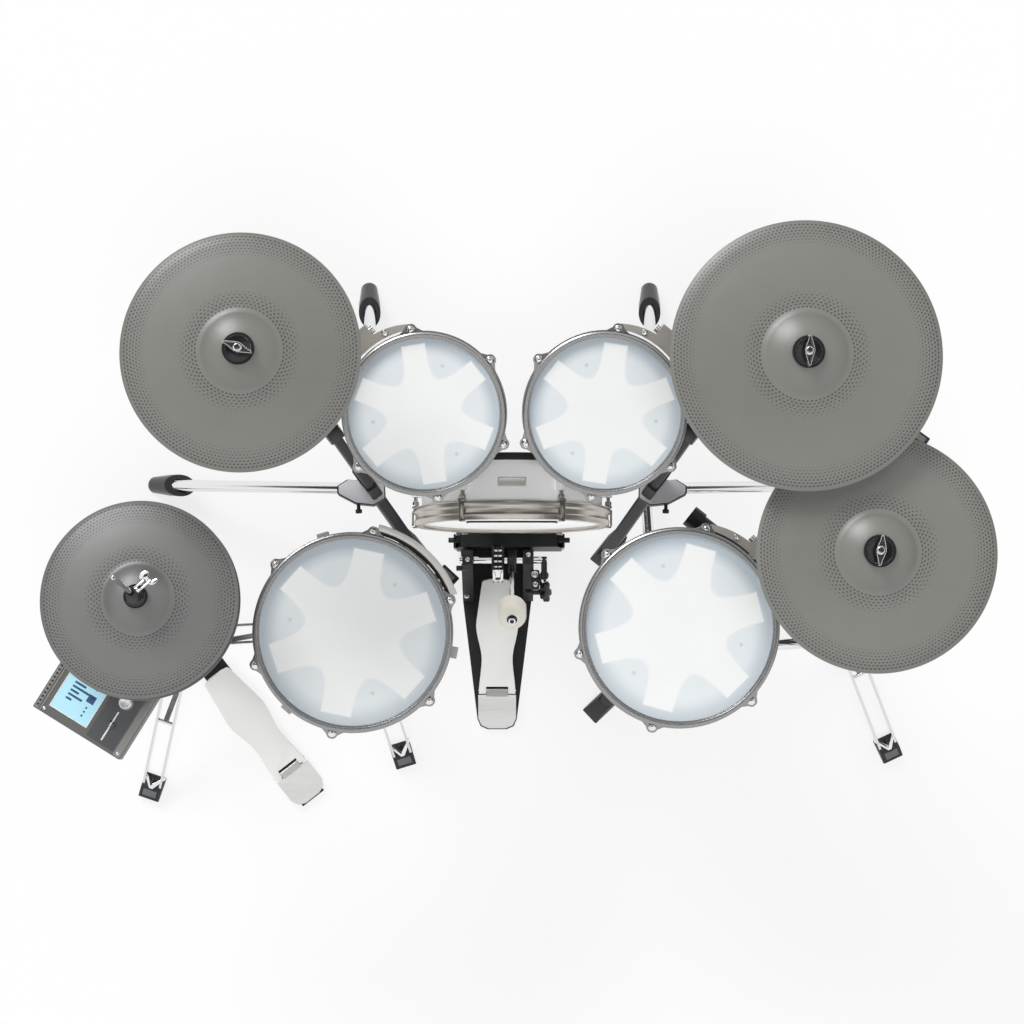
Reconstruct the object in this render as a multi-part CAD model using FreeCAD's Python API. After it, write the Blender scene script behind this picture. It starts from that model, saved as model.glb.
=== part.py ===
import FreeCAD, Part
import math
import os

V = FreeCAD.Vector
UP = V(0, 0, 1)

# Lengths in mm. +X runs to the drummer's right, +Y away from the drummer, +Z up, floor at Z = 0.

# Fits
FIT = 0.2              # clearance of clamped and seated pieces
RUN = 0.05             # radial clearance of a turning pin
AIR = 0.4              # gap between pieces that pass each other

# Drum pads (snare and floor tom share one size, the two toms the other)
PAD12_R = 158.5
PAD10_R = 129.5
SNARE_DEPTH = 115.0
FLOOR_DEPTH = 125.0
TOM_DEPTH = 128.0
PAD_LUGS = 6
HOOP_WIDTH = 13.0
HOOP_WALL = 2.5
HOOP_SHEET = 2.5
HOOP_RISE = 10.0
HOOP_DROP = 12.0
HOOP_LIP = 2.5
HOOP_ROLL = 4.0
EAR_REACH = 9.0
EAR_ROOT = 26.0
EAR_TIP = 13.0
SHELL_WALL = 6.0
SHELL_FLOOR = 4.0
HEAD_T = 1.5
HEAD_RING_W = 3.5
HEAD_RING_H = 7.0
LUG_R = 7.0
LUG_OUT = 15.5
LUG_TOP = 30.0
LUG_TALL = 34.0
STAR_T = 2.5
STAR_DROP = 9.0
STAR_GAP = 9.0
STAR_POST_R = 24.0
STAR12_ARM = 54.0
STAR10_ARM = 44.0
STAR12_CORNER = 28.0
STAR10_CORNER = 22.0

# Pad brackets
BRACKET_T = 3.0
BRACKET_IN = 3.0
BRACKET_END = 12.0
BRACKET_MID = 17.0
BRACKET_HALF_DEG = 29.0
WEB_IN = 9.0
WEB_T = 4.0
WEB_HALF_DEG = 17.0
WEB_TALL = 36.0
NUB_REACH = 36.0
NUB_W = 30.0
NUB_TALL = 38.0
PIN_R = 6.5
PIN_OUT = 24.0
PIN_DROP = 33.0

# Pad places: head centre, lean of the head towards the drummer, first lug and bracket headings
SNARE_AT = V(-251, 239, 612)
FLOOR_AT = V(263, 246, 622)
LEFT_TOM_AT = V(-137, 576, 690)
RIGHT_TOM_AT = V(145, 577, 690)
SNARE_LEAN = 3.0
FLOOR_LEAN = 3.0
TOM_LEAN = 10.0
SNARE_LUG = 18.4
FLOOR_LUG = 14.6
LEFT_TOM_LUG = 39.0
RIGHT_TOM_LUG = 21.0
SNARE_BRACKET = 48.4
FLOOR_BRACKET = 44.6
LEFT_TOM_BRACKET = 129.0
RIGHT_TOM_BRACKET = 51.0

# Cymbals
CRASH_R = 178.0
RIDE_R = 200.0
HAT_R = 152.5
CRASH_BELL_R = 61.0
RIDE_BELL_R = 65.0
HAT_BELL_R = 54.0
CYMBAL_T = 4.0
CYMBAL_EDGE = 2.0
BOW_RISE = 15.0
BOW_SWELL = 2.5
BELL_RISE = 19.0
CYMBAL_HOLE_R = 6.0
CYMBAL_ROCK = 6.0
LEFT_CRASH_AT = V(-400, 635, 978)
RIDE_AT = V(431, 627, 1003)
RIGHT_CRASH_AT = V(538, 341, 946)
ROD_R = 3.5
ELBOW_R = 8.0
ELBOW_DROP = 30.0
ROD_NECK_R = 6.0
ROD_PAST_NUT = 8.0
FELT_TOP_R = 24.0
FELT_TOP_H = 7.0
FELT_LOW_R = 13.0
FELT_LOW_H = 10.0
FELT_TOP_EASE = 6.0
FELT_LOW_EASE = 15.0
ROCK_SPARE = 1.5
SEAT_R = 14.0
SEAT_H = 4.0
NUT_R = 8.0
NUT_H = 13.0
WING_SPAN = 46.0
WING_T = 4.0
WING_H = 15.0
LEFT_WING_DEG = -18.0
RIDE_WING_DEG = 92.0
RIGHT_WING_DEG = 87.0

# Leaning posts with two round legs each
POST_W = 16.0
POST_D = 38.0
SLEEVE_W = 20.0
SLEEVE_D = 44.0
POST_EDGE = 4.0
SLEEVE_PAST_HUB = 60.0
WEDGE_H = 45.0
WEDGE_W = 34.0
WEDGE_D = 56.0
WEDGE_GROW = 5.0
LEG_R = 10.0
LEG_END_Z = 16.0
LEG_START = 36.0
BLOCK_H = 40.0
BLOCK_REACH = 60.0
BLOCK_BACK = 20.0
BLOCK_SIDE = 26.0
BLOCK_SLIM = 13.0
BOOT_MOUTH_R = 19.5
BOOT_TOE_R = 14.5
BOOT_BACK = 40.0
BOOT_PAST = 32.0
BOOT_ROUND = 7.0
LEFT_FOOT = V(-167, 408, 0)
LEFT_TOP = V(-351, 640, 930)
RIGHT_FOOT = V(167, 408, 0)
RIGHT_TOP = V(351, 640, 930)
FLOOR_FOOT = V(155, 138, 0)
FLOOR_TOP = V(394, 365, 480)
RACK_HUB_Z = 325.0
FLOOR_HUB_Z = 182.0
LEFT_BOOTS = (V(-612, 526, 0), V(-252, 858, 0))
RIGHT_BOOTS = (V(612, 526, 0), V(243, 858, 0))
FLOOR_BOOTS = (V(592, 254, 0), V(230, 587, 0))
CROSS_END = V(288, 436, 470)
CROSS_R = 15.0
CROSS_CAP_R = 18.0
CROSS_CAP_L = 22.0
CLAMP_L = 44.0
CLAMP_WALL = 4.5
TOM_CLAMP_Z = 630.0
ARM_R = 8.0
ARM_PAST = 44.0
ARM_BASE_R = 14.0
ARM_BASE_H = 12.0
ARM_SIDE = 12.0

# Tripod stands
TUBE_R = 14.0
TUBE_UPPER_R = 11.0
TUBE_LOW_Z = 40.0
COLLAR_R = 25.0
COLLAR_H = 28.0
COLLAR_Z = 235.0
LOW_COLLAR_Z = 88.0
STRUT_GAP = 30.0
STRUT_T = 4.0
STRUT_H = 12.0
BRACE_W = 9.0
BRACE_H = 5.0
BRACE_REACH = 0.55
CROSS_PIN_R = 3.0
BLOCK_FOOT_W = 36.0
BLOCK_FOOT_IN = 26.0
BLOCK_FOOT_OUT = 18.0
BLOCK_FOOT_H = 26.0
BLOCK_FOOT_NOSE = 15.0
SNARE_STAND_AT = V(-244, 226, 0)
SNARE_LEGS = (-73.0, 47.0, 167.0)
SNARE_LEG_R = 185.0
CRASH_STAND_AT = V(526, 348, 0)
CRASH_LEGS = (-65.0, 54.0, 180.0)
CRASH_LEG_R = 317.0
CRASH_ROD_DROP = 66.0
CRASH_STAND_TOP = RIGHT_CRASH_AT.z - CRASH_ROD_DROP
CRASH_SPLIT_Z = 520.0
HAT_STAND_AT = V(-547, 234, 0)
HAT_LEGS = (-109.0, 9.0, 131.0)
HAT_LEG_R = 255.0
HAT_SPLIT_S = 430.0
HAT_LEAN = 4.0
HAT_LEAN_HEADING = 115.0
HAT_LOW_S = 742.0
HAT_TRAVEL = 22.0
HAT_CLOSED_GAP = 2.0
HAT_TOP_S = HAT_LOW_S + HAT_TRAVEL + HAT_CLOSED_GAP
HAT_ROD_LOW_S = 150.0
HAT_ROD_TOP_S = 1000.0
HAT_BORE_S = 110.0
CLUTCH_BASE_R = 18.5
CLUTCH_BASE_H = 11.0
CLUTCH_R = 8.0
CLUTCH_STEM_R = 5.0
CLUTCH_EASE = 3.5
CLUTCH_H = 40.0
CLUTCH_NUT_R = 10.0
CLUTCH_NUT_H = 11.0
CUP_R = 18.0
CUP_H = 12.0

# Snare basket
HUB_R = 19.0
HUB_H = 18.0
BASKET_ARM_W = 14.0
BASKET_ARM_H = 8.0
BASKET_TIP_W = 18.0
BASKET_TIP_T = 21.0
BASKET_TIP_TALL = 46.0
BASKET_HEADINGS = (108.4, 228.4, 348.4)
KNUCKLE_R = 13.0
KNUCKLE_PIN_R = 4.0
TONGUE_W = 10.0
TONGUE_R = 12.0
CHEEK_W = 8.0
KNUCKLE_DROP = 16.0
FORK_DROP = 12.0

# Bass drum and riser
BASS_AT = V(0, 435, 330)
BASS_SHELL_R = 150.0
BASS_DEPTH = 102.0
BASS_WALL = 6.0
BASS_HOOP_W = 14.0
BASS_HOOP_R = BASS_SHELL_R + BASS_HOOP_W
BASS_HOOP_FRONT = 6.5
BASS_HOOP_BACK = 23.0
BASS_HOOP_LIP = 17.0
BASS_EDGE_T = 6.0
BASS_EDGE_W = 12.0
BASS_LUGS = 6
BASS_LUG_R = 9.0
BASS_LUG_TIP_R = 6.5
BASS_LUG_OUT = 10.0
BASS_LUG_FROM = 42.0
BASS_LUG_TO = 84.0
RISER_X = -5.0
RISER_W = 184.0
RISER_TOP_W = 168.0
RISER_FRONT_Y = 410.0
RISER_FRONT_T = 34.0
RISER_H = 118.0
RISER_ARCH_R = 40.0
RISER_BASE_H = 8.0
CRADLE_W = 120.0
CRADLE_FROM_Y = 464.0
CRADLE_TO_Y = 520.0

# Kick pedal
KICK_X = -26.0
KICK_HINGE_Y = 165.0
HINGE_Z = 24.0
KICK_BOARD_RISE = 17.0
BOARD_L = 197.0
BOARD_T = 6.0
BOARD_HEEL = 32.0
BOARD_WAIST = 27.0
BOARD_BELLY = 36.5
BOARD_TOE = 26.0
BOARD_WAIST_AT = 57.0
BOARD_BELLY_AT = 118.0
BOARD_BACK = 6.0
BOARD_CROWN = 5.0
NOTCH_W = 38.0
NOTCH_DEEP = 7.0
HINGE_PIN_R = 1.8
HEEL_L = 58.0
HEEL_W = 66.0
HEEL_START = 8.0
HEEL_CORNER = 18.0
HEEL_BACK_H = 9.0
PLATE_T = 4.0
KICK_PLATE_TOE = 60.0
KICK_PLATE_END = 64.0
KICK_PLATE_HEEL = 34.5
KICK_PLATE_PAST = 1.5
TOWER_T = 18.0
TOWER_LEFT_X = -85.0
TOWER_RIGHT_X = 19.0
TOWER_FROM_Y = 322.0
TOWER_HALF = 17.0
TOWER_NECK = 40.0
TOWER_TOE_H = 24.0
SHAFT_Y = 384.0
SHAFT_Z = 160.0
SHAFT_R = 6.0
SHAFT_LEFT_X = -90.0
SHAFT_RIGHT_X = 60.0
CAM_R = 29.0
CAM_X = -24.0
CAM_W = 22.0
HOLDER_R = 13.0
HOLDER_W = 16.0
BEATER_X = 0.0
BEATER_LEAN = 35.0
BEATER_R = 24.0
BEATER_FROM = 146.0
BEATER_TO = 190.0
BEATER_ROD_R = 4.0
BEATER_ROD_LOW = 22.0
BEATER_STOP_R = 8.0
BEATER_STOP_L = 4.0
WASHER_R = 10.0
WASHER_T = 2.0
TIP_NUT_R = 6.0
TIP_NUT_L = 6.0
CHAIN_W = 18.0
CHAIN_NARROW = 12.0
CHAIN_T = 5.0
CHAIN_THIN = 4.0
LINK_LAP = 0.12
CHAIN_LINK = 9.5
CHAIN_WRAP_DEG = 130.0
CHAIN_LOW_Z = 92.0
CRANK_T = 10.0
CRANK_ARM = 34.0
CRANK_H = 12.0
SPRING_R = 8.0
SPRING_LUG_Z = 34.0
SPRING_LUG_H = 8.0
SPRING_LUG_W = 20.0

# Hi-hat pedal
HAT_HINGE = V(-389, 30, 0)
HAT_TOE = V(-519, 196, 0)
HAT_BOARD_RISE = 15.0
HAT_BOARD_L = 208.0
HAT_PLATE_W = 46.0

# Sound module, measured from its near left corner
MODULE_CORNER = V(-747, 122.5, 650)
MODULE_HEADING = -31.7
MODULE_W = 159.0
MODULE_L = 178.0
MODULE_T = 40.0
MODULE_ROUND = 2.0
SCREEN_X = 22.0
SCREEN_Y = 16.0
SCREEN_W = 66.0
SCREEN_L = 104.0
SCREEN_T = 2.0
KNOB_X = 121.0
KNOB_Y = 81.0
KNOB_R = 11.5
KNOB_H = 14.0
KNOB_EASE = 1.5
SLIDER_X = 119.0
SLIDER_Y = 40.0
SLIDER_W = 13.0
SLIDER_L = 8.0
SLIDER_H = 8.0
MODULE_PIN_R = 5.0
MODULE_PIN_BACK = 9.0
MODULE_PIN_Z = 616.0
MODULE_EAR_W = 8.0
MODULE_EAR_GAP = 36.0
MODULE_EAR_R = 9.0
MODULE_CLAMP_R = 22.0
MODULE_CLAMP_S = 590.0
MODULE_CLAMP_H = 36.0


def unit(v):
    w = V(v)
    w.normalize()
    return w


def heading(deg):
    return V(math.cos(math.radians(deg)), math.sin(math.radians(deg)), 0)


def solid(shape):
    """The one solid inside a shape, turned right side out."""
    body = shape.Solids[0] if len(shape.Solids) == 1 else shape
    return body if body.Volume > 0 else body.reversed()


def fuse(*shapes):
    return solid(shapes[0].multiFuse(list(shapes[1:])).removeSplitter())


def cut(shape, *tools):
    return solid(shape.cut(list(tools)))


def rod(p, q, r):
    return Part.makeCylinder(r, (q - p).Length, p, q - p)


def face(corners):
    return Part.Face(Part.makePolygon(corners + corners[:1]))


def revolve(profile):
    """Solid of revolution about Z from (radius, height) corners."""
    return solid(face([V(r, 0, z) for r, z in profile]).revolve(V(), UP, 360))


def prism(outline, low, high):
    return solid(face([V(x, y, low) for x, y in outline]).extrude(V(0, 0, high - low)))


def bar(p, q, width, height, side):
    """Rectangular bar from p to q, its width measured along side."""
    along = unit(q - p)
    across = unit(side - along * side.dot(along))
    rise = along.cross(across)
    signs = ((-1, -1), (1, -1), (1, 1), (-1, 1))
    corners = [p + across * (a * width / 2) + rise * (b * height / 2) for a, b in signs]
    return solid(face(corners).extrude(q - p))


def seat(shape, origin, z_dir=UP, x_dir=V(1, 0, 0)):
    """Copy of a shape carried from its own axes to a place in the layout."""
    z = unit(z_dir)
    y = unit(z.cross(x_dir))
    x = y.cross(z)
    moved = shape.copy()
    moved.Placement = FreeCAD.Placement(origin, FreeCAD.Rotation(x, y, z, "ZXY")).multiply(shape.Placement)
    return moved


def spun(shape, deg):
    moved = shape.copy()
    moved.rotate(V(), UP, deg)
    return moved


def on_line(p, q, z):
    """Point of the line p-q at height z."""
    return p + (q - p) * ((z - p.z) / (q.z - p.z))


def pad_radii(hoop_r):
    """Radii of the shell, the head's ring and the hoop's wall, from the inside out."""
    shell_r = hoop_r - HOOP_WIDTH
    ring_in = shell_r + FIT
    ring_out = ring_in + HEAD_RING_W
    wall_in = ring_out + FIT
    return shell_r, ring_in, ring_out, wall_in


def pad_shell(hoop_r, depth, lug):
    shell_r = pad_radii(hoop_r)[0]
    inner = shell_r - SHELL_WALL
    floor_z = SHELL_FLOOR - depth
    star_low = -STAR_DROP - STAR_T
    shell = revolve([(0, -depth), (shell_r, -depth), (shell_r, -HEAD_T), (inner, -HEAD_T),
                     (inner, floor_z), (STAR_POST_R, floor_z), (STAR_POST_R, star_low), (0, star_low)])
    low = -LUG_TOP - LUG_TALL
    barrel = Part.makeCylinder(LUG_R, LUG_TALL, V(shell_r + LUG_OUT, 0, low))
    sunk = SHELL_WALL / 2
    web = Part.makeBox(LUG_OUT + sunk, LUG_R * 1.4, LUG_TALL, V(shell_r - sunk, -LUG_R * 0.7, low))
    casing = fuse(barrel, web)
    return fuse(shell, *[spun(casing, lug + k * 360 / PAD_LUGS) for k in range(PAD_LUGS)])


def pad_head(hoop_r):
    ring_in, ring_out = pad_radii(hoop_r)[1:3]
    low = -HEAD_T - HEAD_RING_H
    return revolve([(0, 0), (ring_out, 0), (ring_out, low), (ring_in, low), (ring_in, -HEAD_T),
                    (0, -HEAD_T)])


def pad_hoop(hoop_r, lug):
    ring_out, wall_in = pad_radii(hoop_r)[2:]
    wall_out = wall_in + HOOP_WALL
    roll = wall_out + HOOP_ROLL
    lip = ring_out - HOOP_LIP
    step = HOOP_SHEET - HOOP_DROP
    ring = revolve([(lip, 0), (wall_in, 0), (wall_in, -HOOP_DROP), (hoop_r, -HOOP_DROP), (hoop_r, step),
                    (wall_out, step), (wall_out, HOOP_RISE - HOOP_SHEET), (roll, HOOP_RISE - HOOP_SHEET),
                    (roll, HOOP_RISE), (wall_in, HOOP_RISE), (wall_in, HOOP_SHEET), (lip, HOOP_SHEET)])
    tip = hoop_r + EAR_REACH
    root = hoop_r - HOOP_WALL
    ear = prism([(root, -EAR_ROOT / 2), (tip, -EAR_TIP / 2), (tip, EAR_TIP / 2), (root, EAR_ROOT / 2)],
                -HOOP_DROP, step)
    return fuse(ring, *[spun(ear, lug + k * 360 / PAD_LUGS) for k in range(PAD_LUGS)])


def pad_star(hoop_r, arm_w, corner_r, lug):
    """Six-armed trigger plate with rounded gaps between the arms."""
    reach = pad_radii(hoop_r)[0] - SHELL_WALL - STAR_GAP
    low = V(0, 0, -STAR_DROP - STAR_T)
    half = arm_w / 2
    run = corner_r / math.tan(math.radians(180 / PAD_LUGS))
    edges = []
    for k in range(PAD_LUGS):
        out = heading(lug + k * 360 / PAD_LUGS)
        after = heading(lug + (k + 1) * 360 / PAD_LUGS)
        split = unit(out + after)
        left = UP.cross(out)
        right_next = after.cross(UP)
        corner = low + split * (half / math.sin(math.radians(180 / PAD_LUGS)))
        bend = corner + split * (corner_r / math.sin(math.radians(180 / PAD_LUGS)) - corner_r)
        tip_right = low + out * reach - left * half
        tip_left = low + out * reach + left * half
        start = corner + out * run
        end = corner + after * run
        edges += [Part.makeLine(tip_right, tip_left), Part.makeLine(tip_left, start),
                  Part.Arc(start, bend, end).toShape(),
                  Part.makeLine(end, low + after * reach + right_next * half)]
    return solid(Part.Face(Part.Wire(edges)).extrude(V(0, 0, STAR_T)))


def sector(r_in, r_mid, r_out, half_deg, low, high):
    """Curved plate about +X: one inner arc and one outer arc through r_mid on the axis."""
    a = V(0, 0, low)
    inner = [a + heading(d) * r_in for d in (-half_deg, 0, half_deg)]
    outer = [a + heading(half_deg) * r_out, a + V(r_mid, 0, 0), a + heading(-half_deg) * r_out]
    wire = Part.Wire([Part.Arc(*inner).toShape(), Part.makeLine(inner[2], outer[0]),
                      Part.Arc(*outer).toShape(), Part.makeLine(outer[2], inner[0])])
    return solid(Part.Face(wire).extrude(V(0, 0, high - low)))


def pad_bracket(hoop_r, bored):
    """Curved plate hung under two ears, with a receiver for the arm's pin where one is bored."""
    top = -HOOP_DROP - FIT
    plate = sector(hoop_r + BRACKET_IN, hoop_r + BRACKET_MID, hoop_r + BRACKET_END, BRACKET_HALF_DEG,
                   top - BRACKET_T, top)
    web_out = hoop_r + WEB_IN + WEB_T
    web = sector(hoop_r + WEB_IN, web_out, web_out, WEB_HALF_DEG, top - WEB_TALL, top)
    if not bored:
        return fuse(plate, web)
    nub = Part.makeBox(NUB_REACH - WEB_IN, NUB_W, NUB_TALL, V(hoop_r + WEB_IN, -NUB_W / 2, top - NUB_TALL))
    centre = V(hoop_r + PIN_OUT, 0, -PIN_DROP)
    side = V(0, NUB_W, 0)
    return cut(fuse(plate, web, nub), rod(centre - side, centre + side, PIN_R + RUN))


def lean_axis(deg):
    """Upward direction of a pad whose head leans towards the drummer."""
    return V(0, -math.sin(math.radians(deg)), math.cos(math.radians(deg)))


def build_pad(nodes, name, at, lean, hoop_r, depth, lug, bracket, arm_w, corner_r, bored):
    up = lean_axis(lean)
    nodes[name + "_shell"] = [seat(pad_shell(hoop_r, depth, lug), at, up)]
    nodes[name + "_hoop"] = [seat(pad_hoop(hoop_r, lug), at, up)]
    nodes[name + "_head"] = [seat(pad_head(hoop_r), at, up)]
    nodes[name + "_star"] = [seat(pad_star(hoop_r, arm_w, corner_r, lug), at, up)]
    nodes[name + "_bracket"] = [seat(spun(pad_bracket(hoop_r, bored), bracket), at, up)]


def pin_line(at, lean, hoop_r, bracket):
    """Centre and direction of the pin that a pad tilts on."""
    up = lean_axis(lean)
    frame = FreeCAD.Placement(at, FreeCAD.Rotation(V(1, 0, 0), up.cross(V(1, 0, 0)), up, "ZXY"))
    centre = heading(bracket) * (hoop_r + PIN_OUT) + V(0, 0, -PIN_DROP)
    along = UP.cross(heading(bracket))
    return frame.multVec(centre), frame.Rotation.multVec(along)


def bell_radius(bell_r):
    return (bell_r ** 2 + BELL_RISE ** 2) / (2 * BELL_RISE)


def cymbal(radius, bell_r):
    """Thin dished disc with a bell, underside of the edge at Z = 0, hole on the axis."""
    sphere = bell_radius(bell_r)
    apex = BOW_RISE + BELL_RISE

    def dome(r):
        return apex - sphere + math.sqrt(sphere ** 2 - r ** 2)

    mid = (radius + bell_r) / 2
    half_bell = (CYMBAL_HOLE_R + bell_r) / 2
    under = [V(CYMBAL_HOLE_R, 0, dome(CYMBAL_HOLE_R)), V(half_bell, 0, dome(half_bell)),
             V(bell_r, 0, BOW_RISE)]
    bow = [under[2], V(mid, 0, BOW_RISE / 2 + BOW_SWELL), V(radius, 0, 0)]
    lift = V(0, 0, CYMBAL_T)
    rim = V(radius, 0, CYMBAL_EDGE)
    wire = Part.Wire([Part.Arc(*under).toShape(), Part.Arc(*bow).toShape(), Part.makeLine(bow[2], rim),
                      Part.Arc(rim, bow[1] + lift, bow[0] + lift).toShape(),
                      Part.Arc(under[2] + lift, under[1] + lift, under[0] + lift).toShape(),
                      Part.makeLine(under[0] + lift, under[0])])
    return solid(Part.Face(wire).revolve(V(), UP, 360))


def felts(at, bell_r):
    """Lower and upper felt, eased so that the cymbal can rock between them."""
    apex = BOW_RISE + BELL_RISE
    drop = CYMBAL_HOLE_R ** 2 / (2 * bell_radius(bell_r))
    slack = math.tan(math.radians(CYMBAL_ROCK + ROCK_SPARE)) * CYMBAL_HOLE_R
    bore = ROD_R + FIT
    top = apex + CYMBAL_T - drop + slack
    rim = top + (FELT_TOP_R - CYMBAL_HOLE_R) * math.tan(math.radians(FELT_TOP_EASE))
    upper = revolve([(bore, top), (CYMBAL_HOLE_R, top), (FELT_TOP_R, rim),
                     (FELT_TOP_R, top + FELT_TOP_H), (bore, top + FELT_TOP_H)])
    low = apex - drop - slack
    shoulder = low - (FELT_LOW_R - CYMBAL_HOLE_R) * math.tan(math.radians(FELT_LOW_EASE))
    lower = revolve([(bore, low), (CYMBAL_HOLE_R, low), (FELT_LOW_R, shoulder),
                     (FELT_LOW_R, low - FELT_LOW_H), (bore, low - FELT_LOW_H)])
    return [seat(lower, at), seat(upper, at)], low - FELT_LOW_H, top + FELT_TOP_H


def wing_nut(low, deg):
    bore = ROD_R + FIT
    hub = revolve([(bore, low), (NUT_R, low), (NUT_R * 0.8, low + NUT_H), (bore, low + NUT_H)])
    root = (bore + NUT_R) / 2
    tip = WING_SPAN / 2
    marks = ((root, NUT_H * 0.15), (tip, NUT_H * 0.6), (tip, WING_H), (root, NUT_H * 0.85))
    wing = face([V(r, -WING_T / 2, low + z) for r, z in marks])
    wing = solid(wing.extrude(V(0, WING_T, 0)))
    return spun(fuse(hub, wing, spun(wing, 180)), deg)


def cymbal_rod(base, at, seat_z, top_z):
    """Support from the flat top of a stand by way of an elbow to the cymbal's rod."""
    elbow = V(at.x, at.y, at.z + seat_z - SEAT_H - ELBOW_DROP)
    knee = base + V(0, 0, ELBOW_R * 2)
    flange = Part.makeCylinder(SEAT_R, SEAT_H, V(at.x, at.y, at.z + seat_z - SEAT_H))
    return fuse(rod(base, knee, ELBOW_R), Part.makeSphere(ELBOW_R, knee), rod(knee, elbow, ELBOW_R),
                Part.makeSphere(ELBOW_R, elbow), flange,
                rod(elbow, V(at.x, at.y, at.z + seat_z - SEAT_H / 2), ROD_NECK_R),
                rod(elbow, V(at.x, at.y, at.z + top_z), ROD_R))


def build_cymbals(nodes):
    nodes["left_crash"] = [seat(cymbal(CRASH_R, CRASH_BELL_R), LEFT_CRASH_AT)]
    nodes["ride"] = [seat(cymbal(RIDE_R, RIDE_BELL_R), RIDE_AT)]
    nodes["right_crash"] = [seat(cymbal(CRASH_R, CRASH_BELL_R), RIGHT_CRASH_AT)]
    crash_base = V(CRASH_STAND_AT.x, CRASH_STAND_AT.y, CRASH_STAND_TOP)
    sets = ((LEFT_CRASH_AT, CRASH_BELL_R, LEFT_TOP, LEFT_WING_DEG),
            (RIDE_AT, RIDE_BELL_R, RIGHT_TOP, RIDE_WING_DEG),
            (RIGHT_CRASH_AT, CRASH_BELL_R, crash_base, RIGHT_WING_DEG))
    nodes["cymbal_felts"] = []
    nodes["cymbal_rods"] = []
    nodes["cymbal_wing_nuts"] = []
    for at, bell_r, base, wing_deg in sets:
        pair, seat_z, top_z = felts(at, bell_r)
        nodes["cymbal_felts"] += pair
        nodes["cymbal_rods"].append(cymbal_rod(base, at, seat_z, top_z + NUT_H + ROD_PAST_NUT))
        nodes["cymbal_wing_nuts"].append(seat(wing_nut(top_z, wing_deg), at))


def post_bar(foot, top, width, depth, low_z, high_z):
    """Leaning post of flat section with rounded edges, both ends cut level."""
    side = unit(UP.cross(top - foot))
    reach = unit(top - foot) * depth
    shaft = bar(on_line(foot, top, low_z) - reach, on_line(foot, top, high_z) + reach, width, depth, side)
    along = [e for e in shaft.Edges if e.Length > depth * 1.5]
    shaft = shaft.makeFillet(POST_EDGE, along)
    size = 4 * depth + (top - foot).Length
    slab = Part.makeBox(2 * size, 2 * size, high_z - low_z, V(foot.x - size, foot.y - size, low_z))
    return solid(shaft.common(slab))


def wedge_foot(foot, top):
    """Flared rubber foot under a post."""
    along = unit(V(top.x - foot.x, top.y - foot.y, 0))
    side = UP.cross(along)
    head = on_line(foot, top, WEDGE_H)
    wires = []
    signs = ((-1, -1), (1, -1), (1, 1), (-1, 1))
    for centre, w, d in ((foot, WEDGE_W, WEDGE_D), (head, SLEEVE_W + WEDGE_GROW, SLEEVE_D + 2 * WEDGE_GROW)):
        corners = [centre + side * (a * w / 2) + along * (b * d / 2) for a, b in signs]
        wires.append(Part.makePolygon(corners + corners[:1]))
    return solid(Part.makeLoft(wires, True))


def boot(start, end):
    """Rubber boot on the lower end of a leg, flat where it meets the floor."""
    along = unit(end - start)
    body = revolve([(0, -BOOT_BACK), (BOOT_MOUTH_R, -BOOT_BACK), (BOOT_MOUTH_R - 1, -BOOT_BACK / 2),
                    (BOOT_TOE_R, BOOT_PAST - BOOT_ROUND), (BOOT_TOE_R - BOOT_ROUND, BOOT_PAST),
                    (0, BOOT_PAST)])
    body = seat(body, end, along, UP.cross(along))
    reach = 2 * BOOT_BACK + BOOT_PAST
    ground = Part.makeBox(2 * reach, 2 * reach, reach, V(end.x - reach, end.y - reach, -reach))
    return cut(body, ground, rod(start, end, LEG_R + FIT))


def build_rack(nodes, name, foot, top, hub_z, boots):
    """One leaning post with its leg block, two legs and rubber feet."""
    split = hub_z + SLEEVE_PAST_HUB
    sleeve = post_bar(foot, top, SLEEVE_W, SLEEVE_D, WEDGE_H, split)
    upper = post_bar(foot, top, POST_W, POST_D, split - 1, top.z)
    nodes[name] = [fuse(sleeve, upper)]
    nodes.setdefault("rack_feet", []).append(wedge_foot(foot, top))
    hub = on_line(foot, top, hub_z)
    first, second = [unit(V(b.x - hub.x, b.y - hub.y, 0)) for b in boots]
    marks = ((0, -BLOCK_SIDE), (BLOCK_REACH * 0.5, -BLOCK_SIDE),
             (BLOCK_REACH, -BLOCK_SLIM), (BLOCK_REACH, 0), (BLOCK_REACH * 0.7, BLOCK_SLIM),
             (BLOCK_SIDE, BLOCK_SLIM), (BLOCK_SLIM, BLOCK_SIDE), (BLOCK_SLIM, BLOCK_REACH * 0.9),
             (-BLOCK_SLIM, BLOCK_REACH * 0.9), (-BLOCK_BACK, BLOCK_BACK), (-BLOCK_BACK, -BLOCK_SLIM))
    low = hub - V(0, 0, BLOCK_H / 2)
    block = solid(face([low + first * a + second * b for a, b in marks]).extrude(V(0, 0, BLOCK_H)))
    tools = [post_bar(foot, top, SLEEVE_W + 2 * FIT, SLEEVE_D + 2 * FIT, hub_z - BLOCK_H, hub_z + BLOCK_H)]
    for out, floor_point in zip((first, second), boots):
        start = hub + out * LEG_START
        end = floor_point + V(0, 0, LEG_END_Z)
        nodes.setdefault("rack_legs", []).append(rod(start, end, LEG_R))
        nodes["rack_feet"].append(boot(start, end))
        tools.append(rod(start, end, LEG_R + FIT))
    nodes.setdefault("rack_leg_blocks", []).append(cut(block, *tools))


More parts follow.
